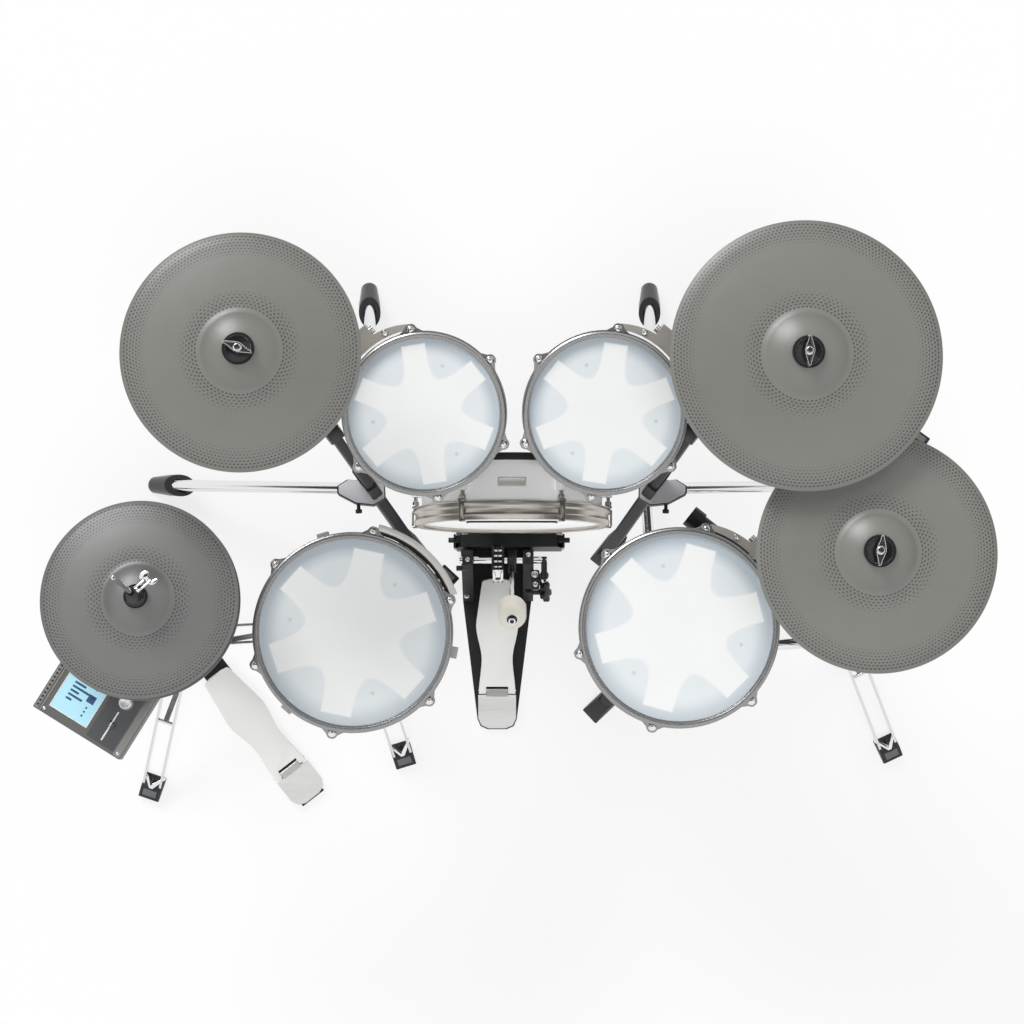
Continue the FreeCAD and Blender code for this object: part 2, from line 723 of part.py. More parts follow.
def arm_pin(at, lean, hoop_r, bracket, turn):
    """Pin through a pad's receiver with a ball at the end where the arm bends, and that point."""
    centre, along = pin_line(at, lean, hoop_r, bracket)
    knee = centre + along * (turn * ARM_PAST)
    tail = centre - along * (turn * (NUB_W / 2 + PIN_R))
    return fuse(rod(tail, knee, PIN_R), Part.makeSphere(ARM_R, knee)), knee


def tom_arm(at, bracket, turn, foot, top):
    """Arm of a tom: pin, bent rod and a clamp round the post."""
    pin, knee = arm_pin(at, TOM_LEAN, PAD10_R, bracket, turn)
    hub = on_line(foot, top, TOM_CLAMP_Z)
    away = hub + unit(V(hub.x - at.x, hub.y - at.y, 0)) * ARM_SIDE
    reach = unit(top - foot) * (CLAMP_L / 2)
    side = UP.cross(top - foot)
    grow = 2 * (CLAMP_WALL + FIT)
    clamp = bar(hub - reach, hub + reach, POST_W + grow, POST_D + grow, side)
    whole = fuse(pin, rod(knee, away, ARM_R), clamp)
    return cut(whole, bar(hub - reach * 2, hub + reach * 2, POST_W + 2 * FIT, POST_D + 2 * FIT, side))


def floor_arm():
    """Arm of the floor tom: pin and bent rod on a round base that sits on the post's flat top."""
    pin, knee = arm_pin(FLOOR_AT, FLOOR_LEAN, PAD12_R, FLOOR_BRACKET, -1)
    base = Part.makeCylinder(ARM_BASE_R, ARM_BASE_H, FLOOR_TOP)
    return fuse(pin, rod(knee, FLOOR_TOP + V(0, 0, ARM_R + FIT), ARM_R), base)


def build_racks(nodes):
    build_rack(nodes, "left_post", LEFT_FOOT, LEFT_TOP, RACK_HUB_Z, LEFT_BOOTS)
    build_rack(nodes, "right_post", RIGHT_FOOT, RIGHT_TOP, RACK_HUB_Z, RIGHT_BOOTS)
    build_rack(nodes, "floor_post", FLOOR_FOOT, FLOOR_TOP, FLOOR_HUB_Z, FLOOR_BOOTS)
    joint = on_line(FLOOR_FOOT, FLOOR_TOP, FLOOR_TOP.z - CROSS_R)
    end = V(CROSS_END.x, CROSS_END.y, joint.z)
    cap = end + unit(joint - end) * CROSS_CAP_L
    cross = fuse(rod(end, joint, CROSS_R), rod(end, cap, CROSS_CAP_R))
    nodes["floor_post"] = [fuse(nodes["floor_post"][0], cross)]
    nodes["tom_arms"] = [tom_arm(LEFT_TOM_AT, LEFT_TOM_BRACKET, 1, LEFT_FOOT, LEFT_TOP),
                         tom_arm(RIGHT_TOM_AT, RIGHT_TOM_BRACKET, -1, RIGHT_FOOT, RIGHT_TOP), floor_arm()]


def tripod(nodes, at, legs, radius, axis=UP):
    """Three folding legs of twin struts with a brace, and their block feet."""
    keep_out = rod(at, at + axis * (COLLAR_Z + COLLAR_H), COLLAR_R + FIT)
    for deg in legs:
        out = heading(deg)
        side = UP.cross(out)
        foot = [at + out * (radius + r) for r in (-BLOCK_FOOT_IN, BLOCK_FOOT_OUT, BLOCK_FOOT_OUT, 0)]
        inner = foot[0]
        heights = (0, 0, BLOCK_FOOT_NOSE, BLOCK_FOOT_H)
        outline = [p + V(0, 0, h) - side * (BLOCK_FOOT_W / 2) for p, h in zip(foot, heights)]
        outline.append(inner + V(0, 0, BLOCK_FOOT_H) - side * (BLOCK_FOOT_W / 2))
        block = solid(face(outline).extrude(side * BLOCK_FOOT_W))
        high = at + axis * COLLAR_Z
        low = at + out * radius + V(0, 0, BLOCK_FOOT_H / 2)
        parts = []
        slots = []
        for sign in (-1, 1):
            shift = side * (sign * STRUT_GAP / 2)
            parts.append(bar(high + shift, low + shift, STRUT_T, STRUT_H, side))
            past = low + shift + unit(low - high) * AIR
            slots.append(bar(high + shift, past, STRUT_T + 2 * FIT, STRUT_H + 2 * FIT, side))
        meet = high + (low - high) * BRACE_REACH
        parts.append(rod(meet - side * (STRUT_GAP / 2), meet + side * (STRUT_GAP / 2), CROSS_PIN_R))
        parts.append(bar(at + axis * LOW_COLLAR_Z, meet, BRACE_W, BRACE_H, side))
        nodes.setdefault("tripod_legs", []).append(cut(fuse(*parts), keep_out))
        nodes.setdefault("tripod_feet", []).append(cut(block, *slots))


def collars():
    """Profile corners of the two leg collars on a stand tube, from the lower one up."""
    corners = []
    for z in (LOW_COLLAR_Z, COLLAR_Z):
        corners += [(TUBE_R, z - COLLAR_H / 2), (COLLAR_R, z - COLLAR_H / 2), (COLLAR_R, z + COLLAR_H / 2),
                    (TUBE_R, z + COLLAR_H / 2)]
    return corners


def build_crash_stand(nodes):
    tube = revolve([(0, TUBE_LOW_Z), (TUBE_R, TUBE_LOW_Z)] + collars()
                   + [(TUBE_R, CRASH_SPLIT_Z), (TUBE_UPPER_R, CRASH_SPLIT_Z),
                      (TUBE_UPPER_R, CRASH_STAND_TOP), (0, CRASH_STAND_TOP)])
    nodes["crash_stand_tube"] = [seat(tube, CRASH_STAND_AT)]
    tripod(nodes, CRASH_STAND_AT, CRASH_LEGS, CRASH_LEG_R)


def snare_pivot():
    """Tilt axis point of the snare stand, under the centre of the basket."""
    up = lean_axis(SNARE_LEAN)
    return SNARE_AT - up * (SNARE_DEPTH + HUB_H + BASKET_ARM_H + KNUCKLE_DROP)


def build_snare_stand(nodes):
    """Tube with a forked top, and the basket that tilts on it."""
    pivot = snare_pivot()
    fork_low = pivot.z - KNUCKLE_R - FORK_DROP
    tube = revolve([(0, TUBE_LOW_Z), (TUBE_R, TUBE_LOW_Z)] + collars()
                   + [(TUBE_R, fork_low), (0, fork_low)])
    tube = seat(tube, SNARE_STAND_AT)
    half = TONGUE_W / 2 + AIR
    along = V(1, 0, 0)
    pin = rod(pivot - along * (half + CHEEK_W), pivot + along * (half + CHEEK_W), KNUCKLE_PIN_R)
    cheeks = []
    for sign in (-1, 1):
        inner = pivot + along * (sign * half)
        outer = pivot + along * (sign * (half + CHEEK_W))
        cheeks.append(rod(inner, outer, KNUCKLE_R))
        mid = (inner + outer) * 0.5
        cheeks.append(bar(V(mid.x, mid.y, fork_low - FORK_DROP / 2), mid, CHEEK_W, 2 * KNUCKLE_R, along))
    level = V(0, 0, fork_low - FORK_DROP / 2)
    bases = [Part.makeCylinder(half + CHEEK_W, FORK_DROP, V(c.x, c.y, fork_low - FORK_DROP))
             for c in (pivot, SNARE_STAND_AT)]
    under = V(pivot.x, pivot.y, 0) + level
    bridge = bar(SNARE_STAND_AT + level, under, 2 * (half + CHEEK_W), FORK_DROP, along)
    nodes["snare_stand_tube"] = [fuse(tube, bridge, pin, *bases, *cheeks)]
    tripod(nodes, SNARE_STAND_AT, SNARE_LEGS, SNARE_LEG_R)
    floor_z = -SNARE_DEPTH
    arm_low = floor_z - BASKET_ARM_H
    tip_in = pad_radii(PAD12_R)[0] + FIT
    pieces = [Part.makeCylinder(HUB_R, HUB_H, V(0, 0, arm_low - HUB_H))]
    for deg in BASKET_HEADINGS:
        arm = Part.makeBox(tip_in + BASKET_TIP_T, BASKET_ARM_W, BASKET_ARM_H, V(0, -BASKET_ARM_W / 2, arm_low))
        tip = Part.makeBox(BASKET_TIP_T, BASKET_TIP_W, BASKET_TIP_TALL + BASKET_ARM_H,
                           V(tip_in, -BASKET_TIP_W / 2, arm_low))
        pieces += [spun(arm, deg), spun(tip, deg)]
    pieces.append(Part.makeCylinder(HUB_R, BASKET_ARM_H, V(0, 0, arm_low)))
    up = lean_axis(SNARE_LEAN)
    basket = seat(fuse(*pieces), SNARE_AT, up)
    tongue = fuse(rod(pivot - along * (TONGUE_W / 2), pivot + along * (TONGUE_W / 2), TONGUE_R),
                  bar(pivot, pivot + up * (KNUCKLE_DROP + HUB_H / 2), TONGUE_W, 2 * TONGUE_R, along))
    bore = rod(pivot - along * TONGUE_W, pivot + along * TONGUE_W, KNUCKLE_PIN_R + RUN)
    nodes["snare_basket"] = [cut(fuse(basket, tongue), bore)]


def hat_axis():
    return unit(UP + heading(HAT_LEAN_HEADING) * math.tan(math.radians(HAT_LEAN)))


def build_hat(nodes):
    """Hi-hat tube, two cymbals and the pull rod, all on one leaning axis."""
    apex = BOW_RISE + BELL_RISE
    cup = HAT_LOW_S - apex - CYMBAL_T
    tube = revolve([(0, TUBE_LOW_Z), (TUBE_R, TUBE_LOW_Z)] + collars()
                   + [(TUBE_R, HAT_SPLIT_S), (TUBE_UPPER_R, HAT_SPLIT_S), (TUBE_UPPER_R, cup - CUP_H),
                      (CUP_R, cup - CUP_H / 2), (CUP_R, cup), (ROD_R + AIR, cup), (ROD_R + AIR, HAT_BORE_S),
                      (0, HAT_BORE_S)])
    axis = hat_axis()
    nodes["hihat_tube"] = [seat(tube, HAT_STAND_AT, axis)]
    tripod(nodes, HAT_STAND_AT, HAT_LEGS, HAT_LEG_R, axis)
    disc = cymbal(HAT_R, HAT_BELL_R)
    flipped = disc.copy()
    flipped.rotate(V(), V(1, 0, 0), 180)
    nodes["hihat_bottom_cymbal"] = [seat(flipped, HAT_STAND_AT + axis * HAT_LOW_S, axis)]
    nodes["hihat_top_cymbal"] = [seat(disc, HAT_STAND_AT + axis * HAT_TOP_S, axis)]
    bell_low = HAT_TOP_S + apex - CYMBAL_HOLE_R ** 2 / (2 * bell_radius(HAT_BELL_R)) - FIT
    bell_top = HAT_TOP_S + apex + CYMBAL_T + FIT
    clutch = bell_top + CLUTCH_BASE_H
    pull = revolve([(0, HAT_ROD_LOW_S), (ROD_R, HAT_ROD_LOW_S), (ROD_R, bell_low - CLUTCH_NUT_H),
                    (CLUTCH_NUT_R, bell_low - CLUTCH_NUT_H), (CLUTCH_NUT_R, bell_low - AIR),
                    (CLUTCH_STEM_R, bell_low - AIR), (CLUTCH_STEM_R, bell_top), (CLUTCH_BASE_R, bell_top),
                    (CLUTCH_BASE_R, clutch - CLUTCH_EASE), (CLUTCH_BASE_R - CLUTCH_EASE, clutch),
                    (CLUTCH_R, clutch), (CLUTCH_R, clutch + CLUTCH_H),
                    (ROD_R, clutch + CLUTCH_H), (ROD_R, HAT_ROD_TOP_S), (0, HAT_ROD_TOP_S)])
    nodes["hihat_pull_rod"] = [seat(pull, HAT_STAND_AT, axis)]


def footboard(length, rise):
    """Waisted footboard hinged at its heel on X, toe towards +Y, notched for the heel plate's tongue."""
    share = length / BOARD_L
    low = -BOARD_T / 2
    marks = [(BOARD_HEEL, -BOARD_BACK), (BOARD_WAIST, BOARD_WAIST_AT * share),
             (BOARD_BELLY, BOARD_BELLY_AT * share), (BOARD_TOE, length)]
    right = [V(x, y, low) for x, y in marks]
    left = [V(-x, y, low) for x, y in marks]
    toe = Part.Arc(right[3], V(0, length + BOARD_CROWN, low), left[3])
    outline = Part.Wire([Part.Arc(*right[:3]).toShape(), Part.makeLine(right[2], right[3]), toe.toShape(),
                         Part.makeLine(left[3], left[2]), Part.Arc(left[2], left[1], left[0]).toShape(),
                         Part.makeLine(left[0], right[0])])
    board = solid(Part.Face(outline).extrude(V(0, 0, BOARD_T)))
    notch = Part.makeBox(NOTCH_W, NOTCH_DEEP + 2 * BOARD_BACK, 2 * BOARD_T,
                         V(-NOTCH_W / 2, -2 * BOARD_BACK, -BOARD_T))
    pin = rod(V(-2 * BOARD_HEEL, 0, 0), V(2 * BOARD_HEEL, 0, 0), HINGE_PIN_R + RUN)
    board = cut(board, notch, pin)
    board.rotate(V(), V(1, 0, 0), rise)
    return board


def heel_plate():
    """Heel plate with a tongue and the hinge pin, its hinge axis on X at the origin."""
    rear = -HEEL_START - HEEL_L
    half = HEEL_W / 2
    low = PLATE_T - HINGE_Z
    side = [(-HEEL_START, low), (-HEEL_START, BOARD_T / 2), (rear, HEEL_BACK_H + low), (rear, low)]
    block = solid(face([V(-half, y, z) for y, z in side]).extrude(V(HEEL_W, 0, 0)))
    cut_in = HEEL_CORNER * 0.3
    rounded = [(half, rear + HEEL_CORNER), (half - cut_in, rear + cut_in), (half - HEEL_CORNER, rear)]
    outline = [(half, -HEEL_START)] + rounded
    outline += [(-x, y) for x, y in reversed(outline)]
    block = solid(block.common(prism(outline, low, BOARD_T)))
    tongue_half = NOTCH_W / 2 - AIR
    sunk = HEEL_START + BOARD_T / 2
    tongue = Part.makeBox(2 * tongue_half, sunk, BOARD_T, V(-tongue_half, -sunk, -BOARD_T / 2))
    nose = rod(V(-tongue_half, 0, 0), V(tongue_half, 0, 0), BOARD_T / 2)
    pin = rod(V(-half, 0, 0), V(half, 0, 0), HINGE_PIN_R)
    return fuse(block, tongue, nose, pin)


def chain():
    """Double chain over the cam and down to the footboard, link by link."""
    radius = CAM_R + AIR + CHAIN_T / 2
    centre = V(CAM_X, SHAFT_Y, SHAFT_Z)
    path = []
    drop = SHAFT_Z - CHAIN_LOW_Z
    count = max(2, round(drop / CHAIN_LINK))
    for k in range(count + 1):
        path.append(centre + V(0, -radius, -drop + k * drop / count))
    wraps = max(2, round(math.radians(CHAIN_WRAP_DEG) * radius / CHAIN_LINK))
    for k in range(1, wraps + 1):
        a = math.radians(180 - k * CHAIN_WRAP_DEG / wraps)
        path.append(centre + V(0, radius * math.cos(a), radius * math.sin(a)))
    side = V(1, 0, 0)
    links = []
    for k, (p, q) in enumerate(zip(path, path[1:])):
        lap = (q - p) * LINK_LAP
        wide, thick = ((CHAIN_W, CHAIN_T), (CHAIN_NARROW, CHAIN_THIN))[k % 2]
        links.append(bar(p - lap, q + lap, wide, thick, side))
    return fuse(*links)


def tower(left_x):
    """Bearing tower of the kick pedal, its side outline extruded along X."""
    y, z, h = SHAFT_Y, SHAFT_Z, TOWER_HALF
    low = PLATE_T / 2
    marks = ((TOWER_FROM_Y, low), (y + h, low), (y + h, z + h * 0.5), (y + h * 0.5, z + h),
             (y - h * 0.5, z + h), (y - h, z + h * 0.5), (y - h, z - TOWER_NECK), (TOWER_FROM_Y, TOWER_TOE_H))
    return solid(face([V(left_x, a, b) for a, b in marks]).extrude(V(TOWER_T, 0, 0)))


def build_kick(nodes):
    """Kick pedal: base with towers, footboard, shaft with cam and beater, chain and spring."""
    hinge = V(KICK_X, KICK_HINGE_Y, HINGE_Z)
    heel_end = KICK_HINGE_Y - HEEL_START - HEEL_L - KICK_PLATE_PAST
    plate_end = RISER_FRONT_Y - FIT
    cut_in = HEEL_CORNER * 0.3
    marks = [(KICK_PLATE_HEEL - HEEL_CORNER, heel_end), (KICK_PLATE_HEEL - cut_in, heel_end + cut_in),
             (KICK_PLATE_HEEL, heel_end + HEEL_CORNER), (KICK_PLATE_TOE, TOWER_FROM_Y),
             (KICK_PLATE_END, plate_end)]
    marks += [(-x, y) for x, y in reversed(marks)]
    plate = prism([(KICK_X + x, y) for x, y in marks], 0, PLATE_T)
    shaft_from = V(SHAFT_LEFT_X, SHAFT_Y, SHAFT_Z)
    shaft_to = V(SHAFT_RIGHT_X, SHAFT_Y, SHAFT_Z)
    crank_x = SHAFT_RIGHT_X - CRANK_T
    spring_at = V(crank_x + CRANK_T / 2, SHAFT_Y - CRANK_ARM + SPRING_R, 0)
    lug_from = TOWER_RIGHT_X + TOWER_T - 1
    lug = Part.makeBox(spring_at.x + SPRING_R - lug_from, SPRING_LUG_W, SPRING_LUG_H,
                       V(lug_from, spring_at.y - SPRING_LUG_W / 2, SPRING_LUG_Z))
    base = fuse(plate, tower(TOWER_LEFT_X), tower(TOWER_RIGHT_X), lug)
    spare = V(TOWER_T, 0, 0)
    nodes["pedal_bases"] = [cut(base, rod(shaft_from - spare, shaft_to + spare, SHAFT_R + RUN))]
    nodes["kick_footboard"] = [seat(footboard(BOARD_L, KICK_BOARD_RISE), hinge)]
    nodes["pedal_heel_plates"] = [seat(heel_plate(), hinge)]
    sideways = V(1, 0, 0)
    cam = Part.makeCylinder(CAM_R, CAM_W, V(CAM_X - CAM_W / 2, SHAFT_Y, SHAFT_Z), sideways)
    holder = Part.makeCylinder(HOLDER_R, HOLDER_W, V(BEATER_X - HOLDER_W / 2, SHAFT_Y, SHAFT_Z), sideways)
    crank = Part.makeBox(CRANK_T, CRANK_ARM + SHAFT_R, CRANK_H,
                         V(crank_x, SHAFT_Y - CRANK_ARM, SHAFT_Z - CRANK_H / 2))
    lean = math.radians(BEATER_LEAN)
    axis = V(0, -math.sin(lean), math.cos(lean))
    centre = V(BEATER_X, SHAFT_Y, SHAFT_Z)
    stop = BEATER_FROM - BEATER_STOP_L
    washer = BEATER_TO + WASHER_T
    stick = revolve([(0, -BEATER_ROD_LOW), (BEATER_ROD_R, -BEATER_ROD_LOW), (BEATER_ROD_R, stop),
                     (BEATER_STOP_R, stop), (BEATER_STOP_R, BEATER_FROM), (BEATER_ROD_R, BEATER_FROM),
                     (BEATER_ROD_R, BEATER_TO), (WASHER_R, BEATER_TO), (WASHER_R, washer),
                     (TIP_NUT_R, washer), (TIP_NUT_R, washer + TIP_NUT_L), (0, washer + TIP_NUT_L)])
    nodes["kick_beater_rod"] = [seat(stick, centre, axis)]
    soft = BEATER_R * 0.35
    chord = soft * 0.3
    felt = revolve([(BEATER_ROD_R + FIT, BEATER_FROM), (BEATER_R - soft, BEATER_FROM),
                    (BEATER_R - chord, BEATER_FROM + chord), (BEATER_R, BEATER_FROM + soft),
                    (BEATER_R, BEATER_TO - soft), (BEATER_R - chord, BEATER_TO - chord),
                    (BEATER_R - soft, BEATER_TO), (BEATER_ROD_R + FIT, BEATER_TO)])
    nodes["kick_beater_felt"] = [seat(felt, centre, axis)]
    bore = rod(centre - axis * (2 * HOLDER_R), centre + axis * (2 * HOLDER_R), BEATER_ROD_R + FIT)
    nodes["kick_shaft"] = [cut(fuse(rod(shaft_from, shaft_to, SHAFT_R), cam, holder, crank), bore)]
    nodes["kick_chain"] = [chain()]
    spring_low = SPRING_LUG_Z + SPRING_LUG_H
    spring_h = SHAFT_Z - CRANK_H / 2 - spring_low
    nodes["kick_spring"] = [Part.makeCylinder(SPRING_R, spring_h, V(spring_at.x, spring_at.y, spring_low))]


def hat_heading():
    return unit(HAT_TOE - HAT_HINGE)


def build_hat_pedal(nodes):
    """Hi-hat pedal: base strip to the stand, heel plate and footboard on the pedal's own line."""
    ahead = hat_heading()
    across = ahead.cross(UP)
    hinge = V(HAT_HINGE.x, HAT_HINGE.y, HINGE_Z)
    nodes["hihat_footboard"] = [seat(footboard(HAT_BOARD_L, HAT_BOARD_RISE), hinge, UP, across)]
    nodes["pedal_heel_plates"].append(seat(heel_plate(), hinge, UP, across))
    start = HAT_HINGE - ahead * (HEEL_START + HEEL_L + KICK_PLATE_PAST) + V(0, 0, PLATE_T / 2)
    end = V(HAT_STAND_AT.x, HAT_STAND_AT.y, PLATE_T / 2)
    strip = bar(start, end, HAT_PLATE_W, PLATE_T, across)
    socket = Part.makeCylinder(COLLAR_R, TUBE_LOW_Z, V(HAT_STAND_AT.x, HAT_STAND_AT.y, 0))
    tube_end = Part.makeCylinder(TUBE_R + FIT, COLLAR_Z, V(0, 0, TUBE_LOW_Z - FIT))
    tube_end = seat(tube_end, HAT_STAND_AT, hat_axis())
    nodes["pedal_bases"].append(cut(fuse(strip, socket), tube_end))


def build_bass(nodes):
    """Bass drum pad lying on its riser, batter side towards the drummer."""
    facing = V(0, -1, 0)
    ring_in = BASS_SHELL_R + FIT
    ring_out = ring_in + HEAD_RING_W
    inner = BASS_SHELL_R - BASS_WALL
    shell = revolve([(0, -BASS_DEPTH), (BASS_SHELL_R, -BASS_DEPTH), (BASS_SHELL_R, -HEAD_T), (inner, -HEAD_T),
                     (inner, BASS_WALL - BASS_DEPTH), (0, BASS_WALL - BASS_DEPTH)])
    lug_r = BASS_SHELL_R + BASS_LUG_OUT
    tall = BASS_LUG_TO - BASS_LUG_FROM
    barrel = Part.makeCone(BASS_LUG_R, BASS_LUG_TIP_R, tall, V(lug_r, 0, -BASS_LUG_TO))
    sunk = BASS_WALL / 2
    web = Part.makeBox(BASS_LUG_OUT + sunk, BASS_LUG_R, tall,
                       V(BASS_SHELL_R - sunk, -BASS_LUG_R / 2, -BASS_LUG_TO))
    casing = fuse(barrel, web)
    casings = [spun(casing, k * 360 / BASS_LUGS) for k in range(BASS_LUGS)]
    nodes["bass_shell"] = [seat(fuse(shell, *casings), BASS_AT, facing)]
    low = -HEAD_T - HEAD_RING_H
    head = revolve([(0, 0), (ring_out, 0), (ring_out, low), (ring_in, low), (ring_in, -HEAD_T),
                    (0, -HEAD_T)])
    nodes["bass_head"] = [seat(head, BASS_AT, facing)]
    lip = BASS_HOOP_R - BASS_HOOP_LIP
    wall = ring_out + FIT
    hoop = revolve([(lip, 0), (wall, 0), (wall, -BASS_HOOP_BACK), (BASS_HOOP_R, -BASS_HOOP_BACK),
                    (BASS_HOOP_R, BASS_HOOP_FRONT), (lip, BASS_HOOP_FRONT)])
    edge_out = ring_in + BASS_EDGE_T
    edge_z = BASS_EDGE_W - BASS_DEPTH
    edge = revolve([(ring_in, -BASS_DEPTH), (edge_out, -BASS_DEPTH), (edge_out, edge_z), (ring_in, edge_z)])
    nodes["bass_hoops"] = [seat(hoop, BASS_AT, facing), seat(edge, BASS_AT, facing)]
    back = RISER_FRONT_Y + RISER_FRONT_T
    marks = ((-RISER_W / 2, 0), (RISER_W / 2, 0), (RISER_W / 2, RISER_H * 0.7), (RISER_TOP_W / 2, RISER_H),
             (-RISER_TOP_W / 2, RISER_H), (-RISER_W / 2, RISER_H * 0.7))
    front = face([V(RISER_X + x, RISER_FRONT_Y, z) for x, z in marks])
    front = solid(front.extrude(V(0, RISER_FRONT_T, 0)))
    arch_z = RISER_BASE_H + RISER_ARCH_R
    arch = rod(V(RISER_X, RISER_FRONT_Y - AIR, arch_z), V(RISER_X, back + AIR, arch_z), RISER_ARCH_R)
    floor_plate = Part.makeBox(CRADLE_W, CRADLE_TO_Y - RISER_FRONT_Y, RISER_BASE_H,
                               V(RISER_X - CRADLE_W / 2, RISER_FRONT_Y, 0))
    cradle = Part.makeBox(CRADLE_W, CRADLE_TO_Y - CRADLE_FROM_Y, BASS_AT.z - BASS_SHELL_R * 0.8,
                          V(RISER_X - CRADLE_W / 2, CRADLE_FROM_Y, 0))
    round_bed = rod(BASS_AT, BASS_AT + V(0, 2 * BASS_DEPTH, 0), BASS_SHELL_R + FIT)
    nodes["bass_riser"] = [cut(fuse(front, floor_plate, cradle), arch, round_bed)]


def module_frame():
    across = heading(MODULE_HEADING)
    ahead = UP.cross(across)
    return across, ahead


def module_point(x, y, z):
    across, ahead = module_frame()
    return V(MODULE_CORNER.x, MODULE_CORNER.y, z) + across * x + ahead * y


def module_pin():
    return module_point(MODULE_W / 2, MODULE_L + MODULE_PIN_BACK, MODULE_PIN_Z)


def build_module(nodes):
    """Sound module with screen, knob and slider, tilting on an arm clamped to the hi-hat tube."""
    across, ahead = module_frame()
    corner = module_point(0, 0, MODULE_CORNER.z - MODULE_T)
    box = Part.makeBox(MODULE_W, MODULE_L, MODULE_T)
    box = box.makeFillet(MODULE_ROUND, [e for e in box.Edges if abs(e.Length - MODULE_T) < 0.01])
    recess = Part.makeBox(SCREEN_W + 2 * FIT, SCREEN_L + 2 * FIT, 2 * SCREEN_T,
                          V(SCREEN_X - FIT, SCREEN_Y - FIT, MODULE_T - SCREEN_T))
    screen = Part.makeBox(SCREEN_W, SCREEN_L, SCREEN_T, V(SCREEN_X, SCREEN_Y, MODULE_T - SCREEN_T))
    housing = seat(box.cut(recess), corner, UP, across)
    pin = module_pin()
    ears = []
    for sign in (-1, 1):
        inner = pin + across * (sign * MODULE_EAR_GAP / 2)
        outer = inner + across * (sign * MODULE_EAR_W)
        back = (inner + outer) * 0.5
        ears.append(rod(inner, outer, MODULE_EAR_R))
        ears.append(bar(back, back - ahead * (1.5 * MODULE_PIN_BACK), MODULE_EAR_W, 2 * MODULE_EAR_R, across))
    reach = MODULE_EAR_GAP / 2 + MODULE_EAR_W
    hole = rod(pin - across * reach * 2, pin + across * reach * 2, MODULE_PIN_R + RUN)
    whole = fuse(housing, *ears)
    nodes["module_housing"] = [cut(whole, hole)]
    nodes["module_screen"] = [seat(screen, corner, UP, across)]
    knob = revolve([(0, 0), (KNOB_R, 0), (KNOB_R - KNOB_EASE / 2, KNOB_H - KNOB_EASE),
                    (KNOB_R - 2 * KNOB_EASE, KNOB_H), (0, KNOB_H)])
    face_z = MODULE_CORNER.z + AIR
    nodes["module_knob"] = [seat(knob, module_point(KNOB_X, KNOB_Y, face_z), UP, across)]
    cap = Part.makeBox(SLIDER_W, SLIDER_L, SLIDER_H, V(-SLIDER_W / 2, -SLIDER_L / 2, 0))
    nodes["module_slider"] = [seat(cap, module_point(SLIDER_X, SLIDER_Y, face_z), UP, across)]
    axis = hat_axis()
    clamp_at = HAT_STAND_AT + axis * MODULE_CLAMP_S
    half = axis * (MODULE_CLAMP_H / 2)
    clamp = rod(clamp_at - half, clamp_at + half, MODULE_CLAMP_R)
    inside = MODULE_EAR_GAP / 2 - AIR
    barrel = rod(pin - across * inside, pin + across * inside, MODULE_EAR_R)
    shaft = rod(pin - across * reach, pin + across * reach, MODULE_PIN_R)
    tube = rod(HAT_STAND_AT + axis * HAT_SPLIT_S, HAT_STAND_AT + axis * HAT_LOW_S, TUBE_UPPER_R + FIT)
    arm = fuse(clamp, barrel, shaft, rod(pin, clamp_at, ARM_R))
    nodes["module_arm"] = [cut(arm, tube)]


def build():
    """All nodes, moved so that the floor point under the middle of the kit is the origin."""
    nodes = {}
    build_pad(nodes, "snare", SNARE_AT, SNARE_LEAN, PAD12_R, SNARE_DEPTH, SNARE_LUG, SNARE_BRACKET,
              STAR12_ARM, STAR12_CORNER, False)
    build_pad(nodes, "floor_tom", FLOOR_AT, FLOOR_LEAN, PAD12_R, FLOOR_DEPTH, FLOOR_LUG, FLOOR_BRACKET,
              STAR12_ARM, STAR12_CORNER, True)
    build_pad(nodes, "left_tom", LEFT_TOM_AT, TOM_LEAN, PAD10_R, TOM_DEPTH, LEFT_TOM_LUG, LEFT_TOM_BRACKET,
              STAR10_ARM, STAR10_CORNER, True)
    build_pad(nodes, "right_tom", RIGHT_TOM_AT, TOM_LEAN, PAD10_R, TOM_DEPTH, RIGHT_TOM_LUG,
              RIGHT_TOM_BRACKET, STAR10_ARM, STAR10_CORNER, True)
    build_racks(nodes)
    build_cymbals(nodes)
    build_crash_stand(nodes)
    build_snare_stand(nodes)
    build_hat(nodes)
    build_kick(nodes)
    build_hat_pedal(nodes)
    build_bass(nodes)
    build_module(nodes)
    shapes = {}
    for name, parts in nodes.items():
        shapes[name] = Part.makeCompound(parts) if len(parts) > 1 else parts[0]
    box = FreeCAD.BoundBox()
    for shape in shapes.values():
        box.add(shape.optimalBoundingBox(False, False))
    shift = V(-box.Center.x, -box.Center.y, 0)
    for shape in shapes.values():
        shape.translate(shift)
    return shapes, shift


def main():
    shapes, shift = build()
    os.makedirs("parts", exist_ok=True)
    for name, shape in shapes.items():
        shape.exportStep("parts/" + name + ".step")
    print(len(shapes), "nodes, moved by", shift)


if __name__ == "__main__":
    main()
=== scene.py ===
"""Studio picture of an electronic drum kit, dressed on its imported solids."""

from __future__ import annotations

import logging
import math
from dataclasses import dataclass
from enum import Enum
from typing import Callable, Protocol, Sequence

import bpy
from mathutils import Matrix, Vector


